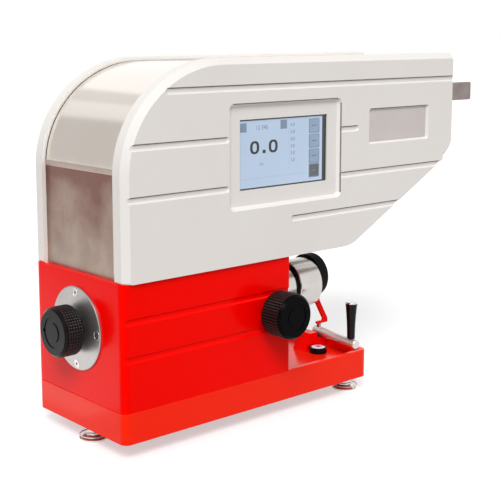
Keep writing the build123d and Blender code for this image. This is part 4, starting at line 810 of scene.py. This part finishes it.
@dataclass(frozen=True)
class Screen:
    """Picture on the touch screen: generic numbers, rules and keys.

    Places (u, v) are shares of the picture's width, and of its height from the top.
    """

    left: float = 125.0
    right: float = 234.8
    bottom: float = 234.4
    top: float = 298.4
    face: float = -69.64
    layer: float = 0.06
    keys: tuple[Span, ...] = ((0.04, 0.25), (0.28, 0.48), (0.51, 0.72), (0.74, 0.94))
    labels: tuple[float, ...] = (0.09, 0.20, 0.31, 0.415, 0.52, 0.63)
    label_drop: float = 0.035
    figures: tuple[tuple[str, Span], ...] = (("left", (0.115, 0.222)), ("right", (0.335, 0.442)))
    figure_rise: Span = (0.305, 0.50)
    figure_power: float = 0.8
    figure_hole: Span = (0.46, 0.66)
    figure_points: int = 40
    cap_share: float = 0.72

    def _spot(self, u: float, v: float) -> Span:
        """Point (x, z) in millimetres of a place on the screen."""
        return self.left + u * (self.right - self.left), self.top - v * (self.top - self.bottom)

    def _patch(self, name: str, u: Span, v: Span, layer: int, finish: Finish, radius: float = 0.4) -> None:
        """A coloured patch of the picture, one layer per level of overlap."""
        low_x, high_z = self._spot(u[0], v[0])
        high_x, low_z = self._spot(u[1], v[1])
        made = plate(name, (low_x, low_z), (high_x, high_z), self.face - layer * self.layer, finish, radius)
        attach(made, "machine")

    def _figure(self, name: str, u: Span, v: Span) -> None:
        """A bold zero: the band between two superellipses, (cos t)^p and (sin t)^p."""
        low, high = np.array(self._spot(u[0], v[1])), np.array(self._spot(u[1], v[0]))
        t = np.linspace(0, 2 * np.pi, self.figure_points, endpoint=False)
        turn = np.stack([np.cos(t), np.sin(t)], -1)
        shape = np.sign(turn) * np.abs(turn) ** self.figure_power
        middle, half = (low + high) / 2, (high - low) / 2
        flat = np.stack([middle + shape * half * np.array(share) for share in ((1.0, 1.0), self.figure_hole)])
        points = grid_points(flat[..., 0], self.face - self.layer, flat[..., 1])
        made = grid_object(name, points, Finishes.screen_digit, Seam.COLUMNS, False)
        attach(made, "machine")

    def _text(self, name: str, words: str, u: float, v: float, height: float) -> None:
        """A generic number, its lower left corner at a spot, made a mesh."""
        data = bpy.data.curves.new(name, "FONT")
        data.body = words
        data.size = height * MM / self.cap_share
        data.resolution_u = 3
        temporary = bpy.data.objects.new(name + "_curve", data)
        bpy.context.scene.collection.objects.link(temporary)
        bpy.context.view_layer.update()
        mesh = bpy.data.meshes.new_from_object(temporary)
        bpy.data.objects.remove(temporary)
        x, z = self._spot(u, v)
        place = Matrix.Translation((x * MM, (self.face - self.layer) * MM, z * MM))
        mesh.transform(place @ Matrix.Rotation(np.pi / 2, 4, "X"))
        mesh.materials.clear()
        mesh.materials.append(Finishes.screen_ink.material())
        made = bpy.data.objects.new(name, mesh)
        bpy.context.scene.collection.objects.link(made)
        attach(made, "machine")

    def _key(self, i: int, top: float, low: float) -> None:
        """One key at the right edge: its border, its face and the mark on it."""
        face = Finishes.screen_key_dark if i == len(self.keys) - 1 else Finishes.screen_key_light
        edge, mark = Finishes.screen_button, Finishes.screen_ink
        self._patch(f"screen_key_edge_{i}", (0.830, 0.965), (top - 0.008, low + 0.008), 1, edge, 0.9)
        self._patch(f"screen_key_{i}", (0.840, 0.955), (top + 0.006, low - 0.008), 2, face, 0.7)
        self._patch(f"screen_key_mark_{i}", (0.865, 0.93), (top + 0.09, top + 0.105), 3, mark, 0.05)

    def build(self) -> None:
        """Lays the picture on the glass, from field to numbers."""
        self._patch("screen_field", (0, 1), (0, 1), 0, Finishes.screen_field, 0.2)
        for i, (top, low) in enumerate(self.keys):
            self._key(i, top, low)
        self._patch("screen_tab_left", (0.0, 0.075), (0.03, 0.165), 1, Finishes.screen_button)
        self._patch("screen_tab_right", (0.475, 0.555), (0.02, 0.155), 1, Finishes.screen_button)
        for i, v in enumerate(self.labels):
            self._text(f"screen_label_{i}", f"{len(self.labels) - i}.0", 0.60, v + self.label_drop, 3.4)
        self._text("screen_heading", "12 345", 0.18, 0.14, 4.2)
        for side, width in self.figures:
            self._figure(f"screen_figure_{side}", width, self.figure_rise)
        self._patch("screen_point", (0.262, 0.298), (0.447, 0.497), 1, Finishes.screen_digit, 0.3)
        self._text("screen_small_line", "100", 0.22, 0.68, 2.6)
        self._patch("screen_side_rule", (0.58, 0.583), (0.05, 0.78), 1, Finishes.screen_rule, 0.05)
        self._patch("screen_low_rule", (0.02, 0.80), (0.86, 0.865), 1, Finishes.screen_rule, 0.05)
        LOG.info("screen picture laid on the glass")


@dataclass(frozen=True)
class Knobs:
    """Knurled rims of the two knobs: where each face lies, how long it is and its rim's radius."""

    axis_height: float = 110.5
    margin: float = 2.4
    adjust_face: float = -41.5
    adjust_length: float = 21.0
    adjust_radius: float = 22.9
    clamp_x: float = 164.0
    clamp_face: float = -106.0
    clamp_length: float = 27.0
    clamp_radius: float = 21.9

    def build(self) -> None:
        """Makes both knurled bands."""
        Knurl(
            "adjust_knob_knurl", (0.0, 0.0, self.axis_height), Direction.X, self.adjust_radius,
            self.adjust_face + self.margin, self.adjust_face + self.adjust_length - self.margin,
            ribs=50, rows=6,
        ).build("adjuster")
        Knurl(
            "clamp_knob_knurl", (self.clamp_x, 0.0, self.axis_height), Direction.Y, self.clamp_radius,
            self.clamp_face + self.margin, self.clamp_face + self.clamp_length - self.margin,
            ribs=48, rows=8,
        ).build("clamp")
        LOG.info("knurled bands on both knobs")


@dataclass(frozen=True)
class PanelLines:
    """Shade lines in the panels' grooves and recesses, painted shade strips in the cover gaps, the seam's lip
    and the bare plate.

    A wall_drop and wall_depth pair gives the strip's points down a groove's upper wall.
    """

    panel_face: float = 75.2
    half_width: float = 3.2
    grooves: tuple[Point, ...] = (
        (34.5, 435.2, 330.0), (-2.4, 106.4, 282.5), (257.8, 283.0, 283.6),
        (-6.6, 106.4, 236.6), (257.8, 413.0, 237.1), (188.0, 345.0, 200.1),
    )
    groove_points: int = 40
    wall_drop: Point = (-0.15, -0.65, -1.15)
    wall_depth: Point = (0.12, 0.58, 1.08)
    recess: tuple[float, float, float, float] = (107.2, 257.2, 214.8, 315.8)
    recess_corner: float = 3.5
    recess_points: int = 30
    recess_inset: Point = (0.15, 0.6, 1.05)
    recess_slope: float = 0.84
    recess_lift: float = 0.14
    plate_rim: tuple[float, float, float, float] = (298.95, 394.45, 265.8, 302.8)
    plate_corner: float = 1.5
    plate_low: Span = (301.5, 268.4)
    plate_high: Span = (391.9, 300.2)
    plate_depth: float = 2.25
    plate_radius: float = 1.2
    cover_arc: tuple[float, float, float, float] = (100.0, 256.0, 109.5, 97.8)
    cover_end: float = 436.0
    gap_points: tuple[int, int] = (60, 39)
    gap_start: float = 0.02
    gap_lift: float = 0.12
    gap_across: Point = (0.35, -0.15, -0.7)
    seam: tuple[float, float, float, float] = (-9.4, 57.6, 257.5, 262.7)
    lip_height: float = 0.45
    lip_power: float = 0.4
    lip_points: tuple[int, int] = (12, 9)

    def build(self) -> None:
        """Makes the lines on both panels, then the lip, the painted gap shade and the plate."""
        for i, (start, end, height) in enumerate(self.grooves):
            for side, label in ((-1, "front"), (1, "rear")):
                self._shade(f"groove_shade_{label}_{i}", side, start, end, height + self.half_width)
        self._recess_shade()
        self._lip()
        for side, label in ((-1, "front"), (1, "rear")):
            self._gap_shade_strip(f"cover_gap_shade_{label}", side)
        depth, finish = self.plate_depth - self.panel_face, Finishes.plate_satin
        made = plate("bare_plate", self.plate_low, self.plate_high, depth, finish, self.plate_radius)
        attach(made, "machine")
        LOG.info("panel lines, seam lip and bare plate laid")

    def _shade(self, name: str, side: int, start: float, end: float, top: float) -> None:
        """A narrow strip on a groove's upper wall, on the side of the machine that side names."""
        run = np.linspace(start, end, self.groove_points)[:, None]
        depth = side * (self.panel_face - np.array(self.wall_depth))
        points = grid_points(run, depth, top + np.array(self.wall_drop))
        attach(grid_object(name, points, Finishes.groove_shade, Seam.NONE), "machine")

    def _recess_shade(self) -> None:
        """Strips on the walls that lie in shade: the recess's upper and right, the plate's upper and left."""
        left, right, low, high = self.recess
        rim_left, rim_right, rim_low, rim_high = self.plate_rim
        inset = np.array(self.recess_inset)
        face = -self.panel_face + inset / self.recess_slope - self.recess_lift
        for name, start, end, corner, fixed, upright, sign in (
            ("recess_shade_top", left, right, self.recess_corner, high, False, 1),
            ("recess_shade_right", low, high, self.recess_corner, right, True, 1),
            ("plate_shade_top", rim_left, rim_right, self.plate_corner, rim_high, False, 1),
            ("plate_shade_left", rim_low, rim_high, self.plate_corner, rim_left, True, -1),
        ):
            run = np.linspace(start + corner, end - corner, self.recess_points)[:, None]
            wall = fixed - sign * inset
            points = grid_points(wall, face, run) if upright else grid_points(run, face, wall)
            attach(grid_object(name, points, Finishes.groove_shade, Seam.NONE), "machine")

    def _gap_shade_strip(self, name: str, side: int) -> None:
        """Painted shade: a black strip on the cover along its joint with the panel, where the gap's shadow
        falls: x = cx - a cos t, z = cz + b sin t, then straight on.

        Args:
            name: Name of the piece.
            side: -1 at the front panel, 1 at the rear panel.
        """
        cx, cz, a, b = self.cover_arc
        bent, flat = self.gap_points
        t = np.linspace(self.gap_start, np.pi / 2, bent)
        x = np.concatenate([cx - a * np.cos(t), np.linspace(cx, self.cover_end, flat + 1)[1:]])
        z = np.concatenate([cz + b * np.sin(t), np.full(flat, cz + b)])
        lift_x = np.concatenate([-np.cos(t), np.zeros(flat)]) * self.gap_lift
        lift_z = np.concatenate([np.sin(t), np.ones(flat)]) * self.gap_lift
        across = side * (self.seam[1] + np.array(self.gap_across))
        points = grid_points((x + lift_x)[:, None], across, (z + lift_z)[:, None])
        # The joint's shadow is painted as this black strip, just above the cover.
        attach(grid_object(name, points, Finishes.black, Seam.NONE), "machine")

    def _lip(self) -> None:
        """A folded lip over the seam: a half-round bead swept across the cover."""
        x, half, low, high = self.seam
        wide, round_points = self.lip_points
        t = np.linspace(0, np.pi, round_points)
        across = np.linspace(-half, half, wide)[:, None]
        rise = (low + high) / 2 - (high - low) / 2 * np.cos(t)
        points = grid_points(x - self.lip_height * np.sin(t) ** self.lip_power, across, rise)
        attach(grid_object("seam_lip", points, Finishes.sheet_lip, Seam.NONE), "machine")


@dataclass(frozen=True)
class ScrewRings:
    """Bright rings round the flange's screws."""

    face: float = -16.95
    pitch: float = 34.0
    axis_height: float = 110.5
    radius: float = 4.0
    section: Span = (0.35, -0.3)
    section_points: int = 12
    steps: int = 36

    def build(self) -> None:
        """Turned oval rings at the four screws."""
        ring = oval(self.radius, self.face, *self.section, self.section_points)
        for i, angle in enumerate(np.radians([0, 90, 180, 270])):
            centre = (0.0, self.pitch * np.cos(angle), self.axis_height + self.pitch * np.sin(angle))
            grid = revolve(ring, self.steps, turned_frame(Direction.X, centre))
            made = grid_object(f"flange_ring_{i}", grid, Finishes.bright, Seam.BOTH)
            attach(made, "machine")
        LOG.info("screw rings on the flange")


@dataclass(frozen=True)
class PadRims:
    """Rolled rims of the three foot pads."""

    radius: float = 12.95
    height: float = 4.5
    section: Span = (0.65, 0.52)
    section_points: int = 14
    steps: int = 48

    def build(self) -> None:
        """A torus of oval section on each pad's upper edge."""
        ring = oval(self.radius, self.height, *self.section, self.section_points)
        for spot in ("left", "front", "rear"):
            low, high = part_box(f"foot_pad_{spot}")
            centre = ((low[0] + high[0]) / 2 / MM, (low[1] + high[1]) / 2 / MM, 0.0)
            grid = revolve(ring, self.steps, turned_frame(Direction.Z, centre))
            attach(grid_object(f"pad_rim_{spot}", grid, Finishes.pad_rim, Seam.BOTH), f"foot_{spot}")
        LOG.info("pad rims rolled")


@dataclass(frozen=True)
class PanelToes:
    """Lower left corner of each side panel, squarer than the solid's radius."""

    left: float = -13.5
    low: float = 162.6
    inner: float = 58.6
    outer: float = 75.2
    bevel: float = 6.0
    corner: float = 2.2
    corner_points: int = 8
    reach: Span = (10.5, 13.0)
    skin: float = 0.015
    lift: float = 0.02

    def build(self) -> None:
        """Lofts three sections of the corner from the inner face to the bevelled outer face."""
        for side, label in ((-1, "front"), (1, "rear")):
            depths = (self.inner, self.outer - self.bevel, self.outer + self.skin)
            rows = [self._section(side * y, inset) for y, inset in zip(depths, (0.0, 0.0, self.bevel))]
            first, last = (np.repeat(row.mean(axis=0)[None], len(row), axis=0) for row in (rows[0], rows[-1]))
            grid = np.stack([first, *rows, last])
            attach(grid_object(f"panel_toe_{label}", grid, Finishes.pale, Seam.COLUMNS, False), "machine")
        LOG.info("panel toes filled")

    def _section(self, y: float, inset: float) -> np.ndarray:
        """Outline of the corner at one depth: a quarter arc between the left and lower edges."""
        x, z = self.left + inset - self.skin, self.low + self.lift
        arc = np.linspace(np.pi, 1.5 * np.pi, self.corner_points)
        centre = np.array([x + self.corner, z + self.corner])
        curve = centre + self.corner * np.stack([np.cos(arc), np.sin(arc)], -1)
        right, top = self.left + self.reach[0], self.low + self.reach[1]
        outline = np.concatenate([[(x, top)], curve, [(right, z), (right, top)]])
        return grid_points(outline[:, 0], y, outline[:, 1])


@dataclass(frozen=True)
class Level:
    """Window, marking ring and bubble of the level in the tray."""

    centre: Span = (278.5, -24.6)
    top: float = 41.8
    mark: tuple[float, float, float, float] = (3.2, 0.55, 0.18, 0.12)
    window: Point = (7.4, 0.1, 0.5)
    bubble: Point = (2.2, 0.45, 0.35)
    steps: int = 48
    bubble_steps: int = 36

    def build(self) -> None:
        """A marking ring, a crowned window r^2 lower at its rim, and a flattened bubble."""
        place = turned_frame(Direction.Z, (*self.centre, 0.0))
        radius, lift, across, along = self.mark
        ring = oval(radius, self.top + lift, across, along, 16)
        made = grid_object("level_mark", revolve(ring, self.steps, place), Finishes.dark_steel, Seam.BOTH)
        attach(made, "machine")
        rim, lift, crown = self.window
        r = np.linspace(rim, 0.0, 10)
        window = np.stack([r, self.top + lift + crown * (1 - (r / rim) ** 2)], -1)
        # The window takes the glowing vial glass: painted light.
        made = grid_object("level_window", revolve(window, self.steps, place), Finishes.vial, Seam.ROWS)
        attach(made, "machine")
        radius, lift, height = self.bubble
        s = np.linspace(0, np.pi, 12)
        dome = np.stack([radius * np.sin(s), self.top + lift + height * np.cos(s)], -1)
        grid = revolve(dome, self.bubble_steps, place)
        made = grid_object("level_bubble", grid, Finishes.bright, Seam.ROWS)
        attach(made, "machine")
        LOG.info("level marked")


def main() -> None:
    """Builds every assembly in order."""
    logging.basicConfig(level=logging.INFO, format="%(message)s")
    Studio().build()
    CadDress().dress()
    for assembly in (Screen, Knobs, PanelLines, ScrewRings, PadRims, PanelToes, Level):
        assembly().build()


if __name__ == "__main__":
    main()
